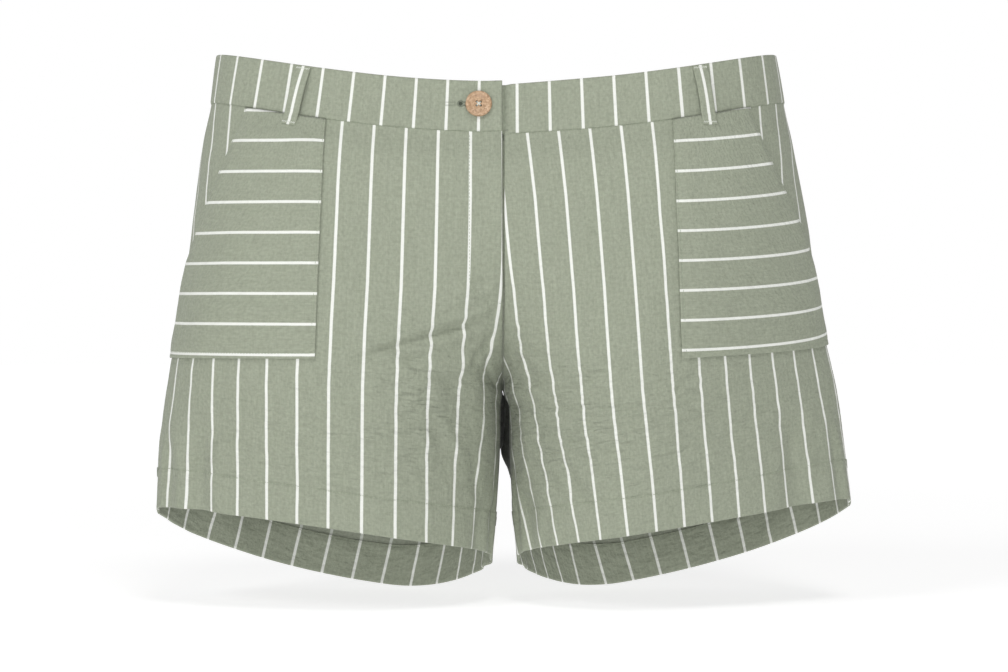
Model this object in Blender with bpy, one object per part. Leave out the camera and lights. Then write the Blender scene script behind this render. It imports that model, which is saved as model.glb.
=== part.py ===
"""Cotton shorts, filled out as when worn and with no wearer inside.

Metres, +Z up. The front faces -Y and +X is the wearer's left. The origin is the middle of the
waist hollow, half-way up the waistband, where the wearer's waist holds the shorts.

Every piece of cloth is a thin closed wall. Its points are read from one surface, body_surface,
which goes round each half of the garment twice: the front from the centre seam or the inseam
over the crest of the leg to the side seam, and the back in the same way. A piece that lies on
another is made from the same surface, moved out.
"""

from math import cos, pi, sin

import bmesh
import bpy
import numpy as np
from mathutils import Matrix, Vector

RIGHT, LEFT = -1, 1

# Walls and gaps.
PANEL_WALL = 0.0012
HEM_WALL = 0.0024
BAND_WALL = 0.0020
BAND_PROUD = 0.0008
POCKET_WALL = 0.0010
LOOP_WALL = 0.0014
SEAM_GAP = 0.0004
LAYER_GAP = 0.0004
POCKET_GAP = 0.0007
EDGE_INNER = 0.0010
EDGE_SIDE = 1 - 0.0006

# Levels: the height of a row of the cloth at the side seam.
BAND_TOP = 0.0235
BAND_SEAM = -0.0125
CROTCH = -0.1985
HEM_FOLD = -0.2870
HEM = -0.3190
TOP_OF_PANELS = BAND_SEAM - SEAM_GAP

# The plan of the body at each level. half_: centre to side seam. front, back: depth of the crest of
# the leg before and behind the side seams. crest_: the crest's distance from the centre. turn_: how
# far round, in degrees, each half runs from its crest to the centre seam, or to the inseam where it
# reaches 90. gap_: the centre seam's or inseam's distance from the centre.
SECTION_COLUMNS = (
    "level", "half_right", "half_left", "front", "back", "crest_right", "crest_left",
    "turn_front", "turn_back", "gap_right", "gap_left",
)
SECTIONS = (
    (+0.0235, 0.2134, 0.2040, 0.0760, 0.0820, 0.100, 0.095, 2.9, 2.3, 0.0002, 0.0002),
    (-0.0125, 0.2178, 0.2104, 0.0830, 0.0900, 0.100, 0.095, 4.6, 2.9, 0.0002, 0.0002),
    (-0.0350, 0.2222, 0.2150, 0.0920, 0.1000, 0.102, 0.095, 7.0, 4.6, 0.0002, 0.0002),
    (-0.0600, 0.2266, 0.2204, 0.0945, 0.1060, 0.103, 0.096, 12.0, 6.9, 0.0002, 0.0002),
    (-0.1000, 0.2316, 0.2280, 0.0970, 0.1130, 0.104, 0.097, 24.0, 13.0, 0.0002, 0.0002),
    (-0.1300, 0.2350, 0.2320, 0.0982, 0.1160, 0.105, 0.098, 38.0, 22.0, 0.0002, 0.0002),
    (-0.1550, 0.2388, 0.2352, 0.0986, 0.1170, 0.105, 0.098, 50.0, 36.0, 0.0002, 0.0002),
    (-0.1800, 0.2430, 0.2394, 0.0985, 0.1170, 0.105, 0.098, 67.0, 58.0, 0.0002, 0.0002),
    (-0.1985, 0.2466, 0.2432, 0.0978, 0.1150, 0.104, 0.098, 90.0, 90.0, 0.0002, 0.0002),
    (-0.2110, 0.2490, 0.2460, 0.0970, 0.1137, 0.104, 0.098, 90.0, 90.0, 0.0014, 0.0050),
    (-0.2400, 0.2530, 0.2518, 0.0937, 0.1090, 0.103, 0.097, 90.0, 90.0, 0.0018, 0.0053),
    (-0.2750, 0.2572, 0.2562, 0.0895, 0.1020, 0.100, 0.096, 90.0, 90.0, 0.0040, 0.0070),
    (-0.3190, 0.2592, 0.2614, 0.0840, 0.0930, 0.095, 0.094, 90.0, 90.0, 0.0078, 0.0112),
)

# How evenly the fronts fall away from the crest of each leg, in to the inseam and out to the side
# seam: 0 in a round, 1 in an even slope.
SLOPE_COLUMNS = ("level", "in_right", "in_left", "out_right", "out_left")
SLOPES = (
    (+0.0235, 0.00, 0.00, 0.00, 0.00),
    (-0.0350, 0.00, 0.00, 0.00, 0.00),
    (-0.1000, 0.00, 0.00, 0.00, 0.30),
    (-0.1400, 0.00, 0.00, 0.00, 0.42),
    (-0.1985, 0.00, 0.00, 0.00, 0.52),
    (-0.2400, 0.10, 0.10, 0.02, 0.55),
    (-0.2750, 0.16, 0.25, 0.05, 0.55),
    (-0.3190, 0.20, 0.35, 0.08, 0.55),
)

# How each row of the cloth runs in height. drop_: how far it falls from the side seam to the
# centre or the inseam. bend: 2 where it falls in a curve, 1 where it falls evenly. lift_: how far
# the crest of the front or back lies above that line, and LIFT_SHAPES how fast that lift is gained
# from the inseam and from the side seam. splay: how much higher the left leg's side is than the
# right's, and SPLAY_SHAPES how late in a row that is gained.
LINE_COLUMNS = ("level", "drop_front", "drop_back", "bend", "lift_front", "lift_back", "splay")
LINES = (
    (+0.0235, 0.0265, 0.0125, 2.0, 0.0000, +0.0000, 0.000),
    (-0.0125, 0.0275, 0.0130, 2.0, 0.0000, +0.0000, 0.000),
    (-0.1000, 0.0280, 0.0155, 2.0, 0.0000, +0.0000, 0.001),
    (-0.1500, 0.0283, 0.0195, 1.9, 0.0000, -0.0040, 0.0020),
    (-0.1800, 0.0285, 0.0248, 1.8, 0.0000, -0.0110, 0.0030),
    (-0.1985, 0.0287, 0.0287, 1.7, 0.0012, -0.0180, 0.0040),
    (-0.2400, 0.0290, 0.0290, 1.4, 0.0050, -0.0300, 0.0056),
    (-0.2750, 0.0335, 0.0335, 1.2, 0.0100, -0.0400, 0.0064),
    (-0.3190, 0.0370, 0.0370, 1.0, 0.0150, -0.0385, 0.0062),
)
LIFT_SHAPES = {"front": (0.4, 0.6), "back": (1.5, 1.25)}
SPLAY_SHAPES = {"front": 4.0, "back": 1.2}
CREST_SOFT = 0.2

# The largest folds, each a broad soft hollow with a low ridge on both sides. Columns: side, whether
# behind, place along the row and level of both ends, how far the line between them bows, width, and
# depth, which is below 0 where the cloth stands out instead.
DRAPES = (
    (RIGHT, False, 0.190, -0.180, 0.170, -0.236, +0.0000, 0.0150, -0.0014),
    (RIGHT, False, 0.140, -0.288, 0.150, -0.335, +0.0000, 0.0150, 0.0026),
    (RIGHT, False, 0.450, -0.178, 0.110, -0.151, -0.0030, 0.0110, 0.0014),
    (RIGHT, False, 0.775, -0.250, 0.775, -0.330, +0.0020, 0.0140, 0.0024),
    (LEFT, False, 0.150, -0.275, 0.150, -0.335, +0.0000, 0.0160, 0.0036),
    (LEFT, False, 0.250, -0.205, 0.480, -0.203, -0.0010, 0.0120, 0.0012),
    (LEFT, False, 0.765, -0.250, 0.770, -0.330, -0.0020, 0.0140, 0.0022),
    (RIGHT, True, 0.090, -0.205, 0.420, -0.232, -0.0080, 0.0130, 0.0032),
    (RIGHT, True, 0.620, -0.120, 0.560, -0.245, +0.0080, 0.0180, 0.0030),
    (RIGHT, True, 0.800, -0.190, 0.740, -0.325, +0.0040, 0.0150, 0.0028),
    (RIGHT, True, 0.300, -0.060, 0.420, -0.150, +0.0060, 0.0180, 0.0020),
    (LEFT, True, 0.080, -0.208, 0.380, -0.240, -0.0070, 0.0130, 0.0030),
    (LEFT, True, 0.590, -0.135, 0.610, -0.262, -0.0070, 0.0170, 0.0028),
    (LEFT, True, 0.820, -0.175, 0.770, -0.320, +0.0040, 0.0150, 0.0026),
    (LEFT, True, 0.280, -0.075, 0.400, -0.160, +0.0050, 0.0180, 0.0018),
)
# The length of a row, a ridge's height by the hollow's depth and its place in widths, how far a fold
# runs on past its ends and fades, as shares of its length, how soon folds set in below the waistband,
# and the part of a row beside each seam in which they die out.
ROW_LENGTH = 0.34
DRAPE_RIDGE = 0.35
RIDGE_PLACE = 2
FOLD_BEYOND = 0.20
FOLD_FADE = 0.45
DRAPE_TOP = 0.030
SEAM_SOFT = 0.065

# Behind the fork the backs lean together. Columns: how far behind the inseam, how wide, by how much,
# the level at which this ends and how soon it fades there.
LEANS = {
    RIGHT: (0.0150, 0.0085, 0.0044, -0.2425, 0.0050),
    LEFT: (0.0290, 0.0098, 0.0095, -0.2720, 0.0370),
}
LEAN_TOP = -0.1953
LEAN_OPENS = 0.0105

# The closure: the wearer's right front laps over the left, which hangs a little lower there.
CLOSURE_SAG = 0.0026
SAG_REACH = 0.070
SAG_END = -0.060
UNDERLAP_END = 0.034
UNDERLAP_START = 0.003
UNDERLAP_STEP = 0.007
JOGGLE_CLEAR = 0.01
FLY_GAP = 0.0012
FLY_END = -0.128
FLY_CLOSED = -0.190
SHIELD_WIDTH = 0.034
SHIELD_INNER = 0.010
SHIELD_ROUND = 0.030

# Patch pockets, measured from the centre (inner edge) and by height (bottom edge).
POCKETS = {
    RIGHT: {"top": 0.1262, "bottom": 0.1335, "foot": -0.2020, "foot_rise": -0.0005},
    LEFT: {"top": 0.1214, "bottom": 0.1277, "foot": -0.2020, "foot_rise": 0.0100},
}
OPENING_START = 0.76
OPENING_END = -0.158
OPENING_CURVE = 1.45

# Belt loops: place along the row at the top and at the bottom, side of the body, and whether behind.
# A loop stands off the band by its bulge, and steps down to the pocket just below the band's seam.
LOOP_WIDTH = 0.0110
LOOP_TAIL = 0.0090
LOOP_INSET = 0.0010
LOOP_BULGE = 0.0024
LOOP_FULL = 0.7
LOOP_STEP = 0.0020
LOOPS = {
    "loop_front_right": (0.622, 0.645, RIGHT, False),
    "loop_front_left": (0.640, 0.650, LEFT, False),
    "loop_back_right": (0.760, 0.765, RIGHT, True),
    "loop_back_left": (0.760, 0.765, LEFT, True),
    "loop_centre_back": (0.000, 0.000, LEFT, True),
}

# Button: a turned disc with a raised rim and four holes. Its profile runs from the middle out and
# down. Columns: share of the radius, share of the height.
BUTTON_RADIUS = 0.0095
BUTTON_HEIGHT = 0.0034
BUTTON_DISH = 0.0009
BUTTON_HOLE = 0.0008
BUTTON_HOLE_RING = 0.0020
BUTTON_X = -0.0170
BUTTON_Z = -0.0203
BUTTON_SEAT = 0.0004
BUTTON_PROFILE = (
    (0.62, 1 - BUTTON_DISH / BUTTON_HEIGHT),
    (0.76, 0.97),
    (0.88, 1.00),
    (0.98, 0.78),
    (1.00, 0.55),
    (0.95, 0.25),
    (0.80, 0.00),
)

# How finely each piece is stepped: columns from the inner edge to the crest and from there to the
# side, rows, and the shares of its width at which the shield has columns.
FRONT_COLUMNS = (8, 10)
BACK_COLUMNS = (7, 8)
BAND_COLUMNS = (6, 9)
BAND_LEVELS = np.linspace(BAND_TOP, BAND_SEAM, 4)
UNDERLAP_COLUMNS = 5
JOGGLE_COLUMNS = 4
SHIELD_RIGHT = np.linspace(1, 0, 4)
SHIELD_LEFT = np.linspace(0, 1, 3)
POCKET_COLUMNS, POCKET_ROWS = 9, 13
LOOP_ROWS = 10
BUTTON_SIDES = 28
HOLE_SIDES = 10
PANEL_LEVELS = (
    TOP_OF_PANELS, -0.028, -0.045, -0.065, -0.088, -0.110, FLY_END, -0.146, -0.163, -0.180,
    FLY_CLOSED, CROTCH, -0.204, -0.211, -0.224, -0.2375, -0.2425, -0.256, -0.271,
    HEM_FOLD + 0.001, HEM_FOLD, -0.303, HEM,
)

COTTON = (0.37, 0.42, 0.30, 1.0)
BUTTON_TAN = (0.47, 0.33, 0.19, 1.0)


def start_empty():
    for thing in list(bpy.data.objects):
        bpy.data.objects.remove(thing)


def material(name, colour, roughness):
    made = bpy.data.materials.new(name)
    made.use_nodes = True
    shader = made.node_tree.nodes["Principled BSDF"]
    shader.inputs["Base Color"].default_value = colour
    shader.inputs["Roughness"].default_value = roughness
    shader.inputs["Metallic"].default_value = 0.0
    return made


def smooth_between(xs, ys, x):
    """A cubic curve through the rows, which never overshoots them. xs fall from row to row."""
    xs, ys, x = -np.asarray(xs), np.asarray(ys), -np.asarray(x, float)
    width = np.diff(xs)
    slope = np.diff(ys) / width
    before, after = slope[:-1], slope[1:]
    total = np.where(before + after == 0, 1, before + after)
    middle = np.where(before * after > 0, 2 * before * after / total, 0)
    tangent = np.concatenate([slope[:1], middle, slope[-1:]])
    i = np.clip(np.searchsorted(xs, x) - 1, 0, len(width) - 1)
    t = (x - xs[i]) / width[i]
    value = (2 * t**3 - 3 * t**2 + 1) * ys[i] + (3 * t**2 - 2 * t**3) * ys[i + 1]
    lean = (t**3 - 2 * t**2 + t) * tangent[i] + (t**3 - t**2) * tangent[i + 1]
    return value + width[i] * lean


def section(name, level):
    rows = np.array(SECTIONS)
    return smooth_between(rows[:, 0], rows[:, SECTION_COLUMNS.index(name)], level)


def line(name, level):
    rows = np.array(LINES)
    return smooth_between(rows[:, 0], rows[:, LINE_COLUMNS.index(name)], level)


def evenness(name, level):
    rows = np.array(SLOPES)
    return smooth_between(rows[:, 0], rows[:, SLOPE_COLUMNS.index(name)], level)


def sag(x, level):
    """How far the left front hangs below the right at the closure."""
    near = np.clip(1 - x / SAG_REACH, 0, 1) ** 2
    high = np.clip((level - SAG_END) / (BAND_TOP - SAG_END), 0, 1)
    return CLOSURE_SAG * near * high


def plan(level, side, back):
    """Half width, depth, crest, inner edge, inner semi-axis and the angle at which that edge lies."""
    name = "right" if side == RIGHT else "left"
    face = "back" if back else "front"
    half, crest, gap = (section(size + name, level) for size in ("half_", "crest_", "gap_"))
    turn = np.radians(section("turn_" + face, level))
    return half, section(face, level), crest, gap, (crest - gap) / np.sin(turn), turn


def slope(reach):
    """An even fall from 1 at the crest to 0 at the seam, with the crest itself softened."""
    fall = np.sqrt(reach**2 + CREST_SOFT**2) - CREST_SOFT
    return 1 - fall / (np.sqrt(1 + CREST_SOFT**2) - CREST_SOFT)


def body_surface(along, level, side, back):
    """A point of the cloth. along: 0 at the centre seam or inseam, 0.5 at the crest, 1 at the side."""
    along, level = np.broadcast_arrays(np.asarray(along, float), np.asarray(level, float))
    half, depth, crest, gap, inner_axis, turn = plan(level, side, back)
    inner = along < 0.5
    angle = np.where(inner, (1 - 2 * along) * turn, (2 * along - 1) * pi / 2)
    x = crest + np.where(inner, -inner_axis, half - crest) * np.sin(angle)
    y = depth * np.cos(angle)
    if not back:
        name = "right" if side == RIGHT else "left"
        even = np.where(inner, evenness("in_" + name, level), evenness("out_" + name, level))
        y = -depth * (np.cos(angle) * (1 - even) + slope(np.sin(angle)) * even)
    out = np.clip((x - gap) / (half - gap), 0, 1)
    face = "back" if back else "front"
    crest_shape = np.abs(np.cos(angle)) ** np.where(inner, *LIFT_SHAPES[face])
    z = level - line("drop_" + face, level) * (1 - out ** line("bend", level))
    z = z + line("lift_" + face, level) * crest_shape
    if side == LEFT:
        z = z + line("splay", level) * out ** SPLAY_SHAPES[face]
        if not back:
            z = z - sag(x, level)
    return np.stack([side * x, y, z], axis=-1)


def with_normals(along, level, side, back):
    """The same points with the directions that point out of the garment."""
    step, rise = 0.0015, 0.0010
    across = body_surface(along + step, level, side, back) - body_surface(along - step, level, side, back)
    down = body_surface(along, level - rise, side, back) - body_surface(along, level + rise, side, back)
    normal = np.cross(down, across) * (side * (-1 if back else 1))
    normal = normal / np.linalg.norm(normal, axis=-1, keepdims=True)
    return body_surface(along, level, side, back), normal


def even_step(share):
    """0 to 1 with a soft start and end."""
    share = np.clip(share, 0, 1)
    return share * share * (3 - 2 * share)


def drapes(along, level, side, back):
    """How far the largest folds lead the cloth inwards here. They fade out at the seams."""
    along, level = np.broadcast_arrays(np.asarray(along, float), np.asarray(level, float))
    total = np.zeros(along.shape)
    for fold_side, behind, place, start, end_place, end, bow, width, depth in DRAPES:
        if (fold_side, behind) != (side, back):
            continue
        run, fall = (end_place - place) * ROW_LENGTH, end - start
        length = np.hypot(run, fall)
        across, up = (along - place) * ROW_LENGTH, level - start
        share = (across * run + up * fall) / length**2
        off = (up * run - across * fall) / length - bow * (1 - (2 * share - 1) ** 2)
        ends = even_step((share + FOLD_BEYOND) / FOLD_FADE)
        ends = ends * even_step((1 + FOLD_BEYOND - share) / FOLD_FADE)
        hollow = np.exp(-((off / width) ** 2))
        ridges = np.exp(-((np.abs(off) / width - RIDGE_PLACE) ** 2))
        total = total + depth * ends * (hollow - DRAPE_RIDGE * ridges)
    if back:
        behind, width, lean, foot, foot_soft = LEANS[side]
        reach = even_step((LEAN_TOP - level) / LEAN_OPENS) * even_step((level - foot) / foot_soft)
        total = total - lean * reach * np.exp(-(((along * ROW_LENGTH - behind) / width) ** 2))
    seams = even_step(along / SEAM_SOFT) * even_step((1 - along) / SEAM_SOFT)
    return total * seams * even_step((TOP_OF_PANELS - level) / DRAPE_TOP)


def moved(along, level, side, back, offset):
    """Points of the draped cloth, moved out by offset."""
    points, normals = with_normals(along, level, side, back)
    out = np.asarray(offset) - drapes(along, level, side, back)
    return points + normals * out[..., None]


def along_at(x, level, side, back=False):
    """Where, between the inner edge and the crest, the surface lies x from the centre."""
    _, _, crest, _, inner_axis, turn = plan(level, side, back)
    angle = np.arcsin(np.clip((crest - x) / inner_axis, -1, 1))
    return 0.5 * (1 - angle / turn)


def along_beyond(x, level, side, back=False):
    """Where, between the crest and the side seam, the surface lies x from the centre."""
    half, _, crest, _, _, _ = plan(level, side, back)
    return 0.5 + np.arcsin(np.clip((x - crest) / (half - crest), 0, 1)) / pi


def wall(name, outer, inner, finish):
    """A closed wall between two grids of points, each rows by columns."""
    rows, columns = outer.shape[:2]
    mesh = bmesh.new()
    grids = [[[mesh.verts.new(p) for p in row] for row in grid] for grid in (outer, inner)]
    for grid in grids:
        for r in range(rows - 1):
            for c in range(columns - 1):
                mesh.faces.new((grid[r][c], grid[r][c + 1], grid[r + 1][c + 1], grid[r + 1][c]))
    rim = [(0, c) for c in range(columns)]
    rim += [(r, columns - 1) for r in range(1, rows)]
    rim += [(rows - 1, c) for c in range(columns - 2, -1, -1)]
    rim += [(r, 0) for r in range(rows - 2, 0, -1)]
    for (r, c), (r_next, c_next) in zip(rim, rim[1:] + rim[:1]):
        face = (grids[0][r][c], grids[0][r_next][c_next], grids[1][r_next][c_next], grids[1][r][c])
        mesh.faces.new(face)
    return finished(name, mesh, finish)


def finished(name, mesh, finish):
    bmesh.ops.recalc_face_normals(mesh, faces=mesh.faces)
    bmesh.ops.triangulate(mesh, faces=mesh.faces)
    data = bpy.data.meshes.new(name)
    mesh.to_mesh(data)
    mesh.free()
    data.materials.append(finish)
    made = bpy.data.objects.new(name, data)
    bpy.context.collection.objects.link(made)
    return made


def spread(first, last, steps):
    """Columns of numbers, from first to last, for rows that may each have their own ends."""
    first, last = np.asarray(first, float), np.asarray(last, float)
    share = np.linspace(0, 1, steps + 1)
    return first[..., None] * (1 - share) + last[..., None] * share


def panel_columns(level, side, back):
    """Places across a front or back: the inner edge keeps clear of the other half's."""
    first = np.full(level.shape, EDGE_INNER)
    if side == LEFT and not back:
        opening = np.interp(-level, (-FLY_END, -FLY_CLOSED), (FLY_GAP, SEAM_GAP / 2))
        first = np.maximum(first, along_at(opening, level, side))
    middle, last = np.full(level.shape, 0.5), np.full(level.shape, EDGE_SIDE)
    to_crest, to_side = BACK_COLUMNS if back else FRONT_COLUMNS
    outer = spread(middle, last, to_side)
    return np.concatenate([spread(first, middle, to_crest), outer[:, 1:]], axis=1)


def panel(name, side, back, finish):
    """One front or back, from the waistband to the hem, with the hem's turned-up layer inside."""
    level = np.array(PANEL_LEVELS)
    columns = panel_columns(level, side, back)
    rows = level[:, None]
    thickness = np.where(rows <= HEM_FOLD, HEM_WALL, PANEL_WALL) + 0 * columns
    outer = moved(columns, rows, side, back, 0 * thickness)
    inner = moved(columns, rows, side, back, -thickness)
    return wall(name, outer, inner, finish)


def band_columns():
    """Places along half of the waistband, from the centre to the side seam, for each of its rows."""
    first, middle, last = (np.full(BAND_LEVELS.shape, place) for place in (0.0, 0.5, EDGE_SIDE))
    outer = spread(middle, last, BAND_COLUMNS[1])
    return np.concatenate([spread(first, middle, BAND_COLUMNS[0]), outer[:, 1:]], axis=1)


def waistband_right(finish):
    """The lap that carries the button's hole: it ends on the centre line."""
    columns = band_columns()
    rows = BAND_LEVELS[:, None]
    outer = moved(columns, rows, RIGHT, False, np.full(columns.shape, BAND_PROUD))
    inner = moved(columns, rows, RIGHT, False, np.full(columns.shape, BAND_PROUD - BAND_WALL))
    return wall("waistband_right", outer, inner, finish)


def waistband_left(finish):
    """The band under the lap: it steps in by a layer and runs on behind it."""
    rows = BAND_LEVELS
    buried = BAND_PROUD - BAND_WALL - LAYER_GAP
    reach = np.linspace(UNDERLAP_END, UNDERLAP_START, UNDERLAP_COLUMNS)
    under = np.array([along_at(x, rows, RIGHT) for x in reach]).T
    down = np.array([0, 0, -CLOSURE_SAG])
    parts = {"outer": [], "inner": []}
    start = along_at(UNDERLAP_STEP, rows, LEFT)
    step = spread(0 * start, start, JOGGLE_COLUMNS - 1)
    rest = band_columns()
    keep = rest > start[:, None] + JOGGLE_CLEAR
    rest = rest[:, keep.all(axis=0)]
    for face, depth in (("outer", 0.0), ("inner", -BAND_WALL)):
        high = np.clip((rows - SAG_END) / (BAND_TOP - SAG_END), 0, 1)
        lap = moved(under, rows[:, None], RIGHT, False, np.full(under.shape, buried + depth))
        lap = lap + down * high[:, None, None]
        rise = np.linspace(buried, BAND_PROUD, JOGGLE_COLUMNS)[None, :] + 0 * step
        joggle = moved(step, rows[:, None], LEFT, False, rise + depth)
        front = moved(rest, rows[:, None], LEFT, False, np.full(rest.shape, BAND_PROUD + depth))
        parts[face] = np.concatenate([lap, joggle, front], axis=1)
    return wall("waistband_left", parts["outer"], parts["inner"], finish)


def waistband_back(finish):
    half = band_columns()
    rows = BAND_LEVELS[:, None]
    faces = []
    for depth in (BAND_PROUD, BAND_PROUD - BAND_WALL):
        right = moved(half, rows, RIGHT, True, np.full(half.shape, depth))
        left = moved(half, rows, LEFT, True, np.full(half.shape, depth))
        faces.append(np.concatenate([right[:, :0:-1], left], axis=1))
    return wall("waistband_back", faces[0], faces[1], finish)


def fly_shield(finish):
    """The strip behind the closure, which is sewn to the left front and closes the fly's slit."""
    through = PANEL_LEVELS.index(FLY_END) + 1
    level = np.array([TOP_OF_PANELS - CLOSURE_SAG, *PANEL_LEVELS[1:through]])
    low = np.clip((FLY_END + SHIELD_ROUND - level) / SHIELD_ROUND, 0, 1)
    width = SHIELD_WIDTH - (SHIELD_WIDTH - SHIELD_INNER) * (1 - np.sqrt(1 - low**2))
    depth = -PANEL_WALL - LAYER_GAP
    faces = []
    for offset in (depth, depth - PANEL_WALL):
        right_places = np.array([along_at(width * share, level, RIGHT) for share in SHIELD_RIGHT]).T
        left_places = np.array([along_at(SHIELD_INNER * share, level, LEFT) for share in SHIELD_LEFT]).T
        right = moved(right_places, level[:, None], RIGHT, False, np.full(right_places.shape, offset))
        left = moved(left_places, level[:, None], LEFT, False, np.full(left_places.shape, offset))
        faces.append(np.concatenate([right, left], axis=1))
    return wall("fly_shield", faces[0], faces[1], finish)


def level_for(height, along, side):
    """The level of the front's row that passes this height at this place."""
    level = np.asarray(height, float)
    for _ in range(6):
        level = level + (height - body_surface(along, level, side, False)[..., 2])
    return level


def opening_place(level):
    """The slanted edge of a pocket: its place along the row at this level."""
    down = np.clip((TOP_OF_PANELS - level) / (TOP_OF_PANELS - OPENING_END), 0, 1)
    return np.minimum(OPENING_START + (1 - OPENING_START) * down**OPENING_CURVE, EDGE_SIDE)


def pocket_inner_place(level, side):
    shape = POCKETS[side]
    x = np.interp(-level, (-TOP_OF_PANELS, -shape["foot"]), (shape["top"], shape["bottom"]))
    return along_beyond(x, level, side)


def pocket(name, side, finish):
    """A patch pocket: a straight inner edge and foot, and a slanted opening to the side seam."""
    shape = POCKETS[side]
    share = np.linspace(0, 1, POCKET_COLUMNS)
    foot_height = shape["foot"] + shape["foot_rise"] * share
    foot_place = spread(pocket_inner_place(shape["foot"], side), EDGE_SIDE, POCKET_COLUMNS - 1)
    foot_level = level_for(foot_height, foot_place, side)
    down = np.linspace(0, 1, POCKET_ROWS)[:, None]
    level = TOP_OF_PANELS * (1 - down) + foot_level[None, :] * down
    place = pocket_inner_place(level, side) * (1 - share) + opening_place(level) * share
    outer = moved(place, level, side, False, np.full(place.shape, POCKET_GAP + POCKET_WALL))
    inner = moved(place, level, side, False, np.full(place.shape, POCKET_GAP))
    return wall(name, outer, inner, finish)


def belt_loop(name, top_place, foot_place, side, back, finish):
    """A strip that lies on the band at both ends and stands off it between them."""
    share = np.linspace(0, 1, LOOP_ROWS)
    level = (BAND_TOP - LOOP_INSET) * (1 - share) + (BAND_SEAM - LOOP_TAIL) * share
    place = top_place + (foot_place - top_place) * share
    points, normals = with_normals(place, level, side, back)
    across = np.gradient(points, axis=0)
    sideways = np.cross(normals, across)
    sideways = sideways / np.linalg.norm(sideways, axis=-1, keepdims=True)
    foot_rest = POCKET_GAP + POCKET_WALL if not back else 0.0
    rest = np.where(level > BAND_SEAM - LOOP_STEP, np.maximum(BAND_PROUD, foot_rest), foot_rest)
    off = rest + LAYER_GAP + LOOP_BULGE * np.sin(pi * share) ** LOOP_FULL
    grids = []
    for offset in (off + LOOP_WALL, off):
        middle = points + normals * offset[:, None]
        half = sideways * LOOP_WIDTH / 2
        grids.append(np.stack([middle - half, middle, middle + half], axis=1))
    return wall(name, grids[0], grids[1], finish)


def button(finish):
    """Turned about its own axis, then drilled, then laid on the band."""
    mesh = bmesh.new()
    turns = [2 * pi * k / BUTTON_SIDES for k in range(BUTTON_SIDES)]
    rings = []
    for share_out, share_up in BUTTON_PROFILE:
        r, z = BUTTON_RADIUS * share_out, BUTTON_HEIGHT * share_up
        rings.append([mesh.verts.new((r * cos(turn), r * sin(turn), z)) for turn in turns])
    for upper, lower in zip(rings, rings[1:]):
        for k in range(BUTTON_SIDES):
            beyond = (k + 1) % BUTTON_SIDES
            mesh.faces.new((upper[k], upper[beyond], lower[beyond], lower[k]))
    mesh.faces.new(rings[0])
    mesh.faces.new(rings[-1])
    disc = finished("button", mesh, finish)
    for k in range(4):
        turn = pi / 4 + k * pi / 2
        drill = bmesh.new()
        x, y = BUTTON_HOLE_RING * cos(turn), BUTTON_HOLE_RING * sin(turn)
        place = Matrix.Translation((x, y, BUTTON_HEIGHT / 2))
        bmesh.ops.create_cone(
            drill, cap_ends=True, segments=HOLE_SIDES, radius1=BUTTON_HOLE, radius2=BUTTON_HOLE,
            depth=BUTTON_HEIGHT * 2, matrix=place,
        )
        cutter = finished(f"drill_{k}", drill, finish)
        cutter.hide_render = True
        cutter.display_type = "WIRE"
        cutter.parent = disc
        cut = disc.modifiers.new(f"hole_{k}", "BOOLEAN")
        cut.operation = "DIFFERENCE"
        cut.object = cutter
    level = level_for(BUTTON_Z, along_at(-BUTTON_X, 0.0, RIGHT), RIGHT)
    point, normal = with_normals(along_at(-BUTTON_X, level, RIGHT), level, RIGHT, False)
    out = Vector(normal)
    disc.rotation_mode = "QUATERNION"
    disc.rotation_quaternion = out.to_track_quat("Z", "Y")
    disc.location = Vector(point) + out * (BAND_PROUD + BUTTON_SEAT)
    return disc


def build():
    start_empty()
    cotton = {}

    def cloth(name):
        cotton[name] = material("cotton_" + name, COTTON, 0.9)
        return cotton[name]

    for side, word in ((RIGHT, "right"), (LEFT, "left")):
        panel("front_" + word, side, False, cloth("front_" + word))
        panel("back_" + word, side, True, cloth("back_" + word))
        pocket("pocket_" + word, side, cloth("pocket_" + word))
    waistband_right(cloth("waistband_right"))
    waistband_left(cloth("waistband_left"))
    waistband_back(cloth("waistband_back"))
    fly_shield(cloth("fly_shield"))
    for name, (top_place, foot_place, side, back) in LOOPS.items():
        belt_loop(name, top_place, foot_place, side, back, cloth(name))
    button(material("button_horn", BUTTON_TAN, 0.45))


build()
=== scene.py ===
"""The looks of the cotton shorts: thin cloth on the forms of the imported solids.

Metres, +Z up. The front faces -Y and +X is the wearer's left. The garment's surface is the one that
the part's source describes, in finer steps: along is 0 at the centre seam or inseam, 0.5 at the
crest of the leg and 1 at the side seam, and level is the height of a row of cloth at the side.
"""

from math import cos, pi, radians, sin

import bmesh
import bpy
import numpy as np
from mathutils import Matrix, Vector


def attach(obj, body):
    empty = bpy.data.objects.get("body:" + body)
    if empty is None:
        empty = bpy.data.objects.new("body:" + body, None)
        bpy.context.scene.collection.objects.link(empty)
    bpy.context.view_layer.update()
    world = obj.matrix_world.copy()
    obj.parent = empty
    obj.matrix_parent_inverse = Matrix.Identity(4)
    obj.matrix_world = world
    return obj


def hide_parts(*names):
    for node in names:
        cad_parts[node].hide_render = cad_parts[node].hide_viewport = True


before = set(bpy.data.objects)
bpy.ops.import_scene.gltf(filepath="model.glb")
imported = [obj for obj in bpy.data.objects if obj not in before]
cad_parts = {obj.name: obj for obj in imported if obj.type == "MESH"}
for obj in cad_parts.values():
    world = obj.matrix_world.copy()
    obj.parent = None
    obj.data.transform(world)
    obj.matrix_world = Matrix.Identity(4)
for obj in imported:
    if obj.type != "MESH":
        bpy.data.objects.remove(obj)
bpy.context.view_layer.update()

RIGHT, LEFT = -1, 1
WORDS = {RIGHT: "right", LEFT: "left"}
FACES = {False: "front", True: "back"}
HALVES = [(side, back) for side in WORDS for back in FACES]

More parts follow.
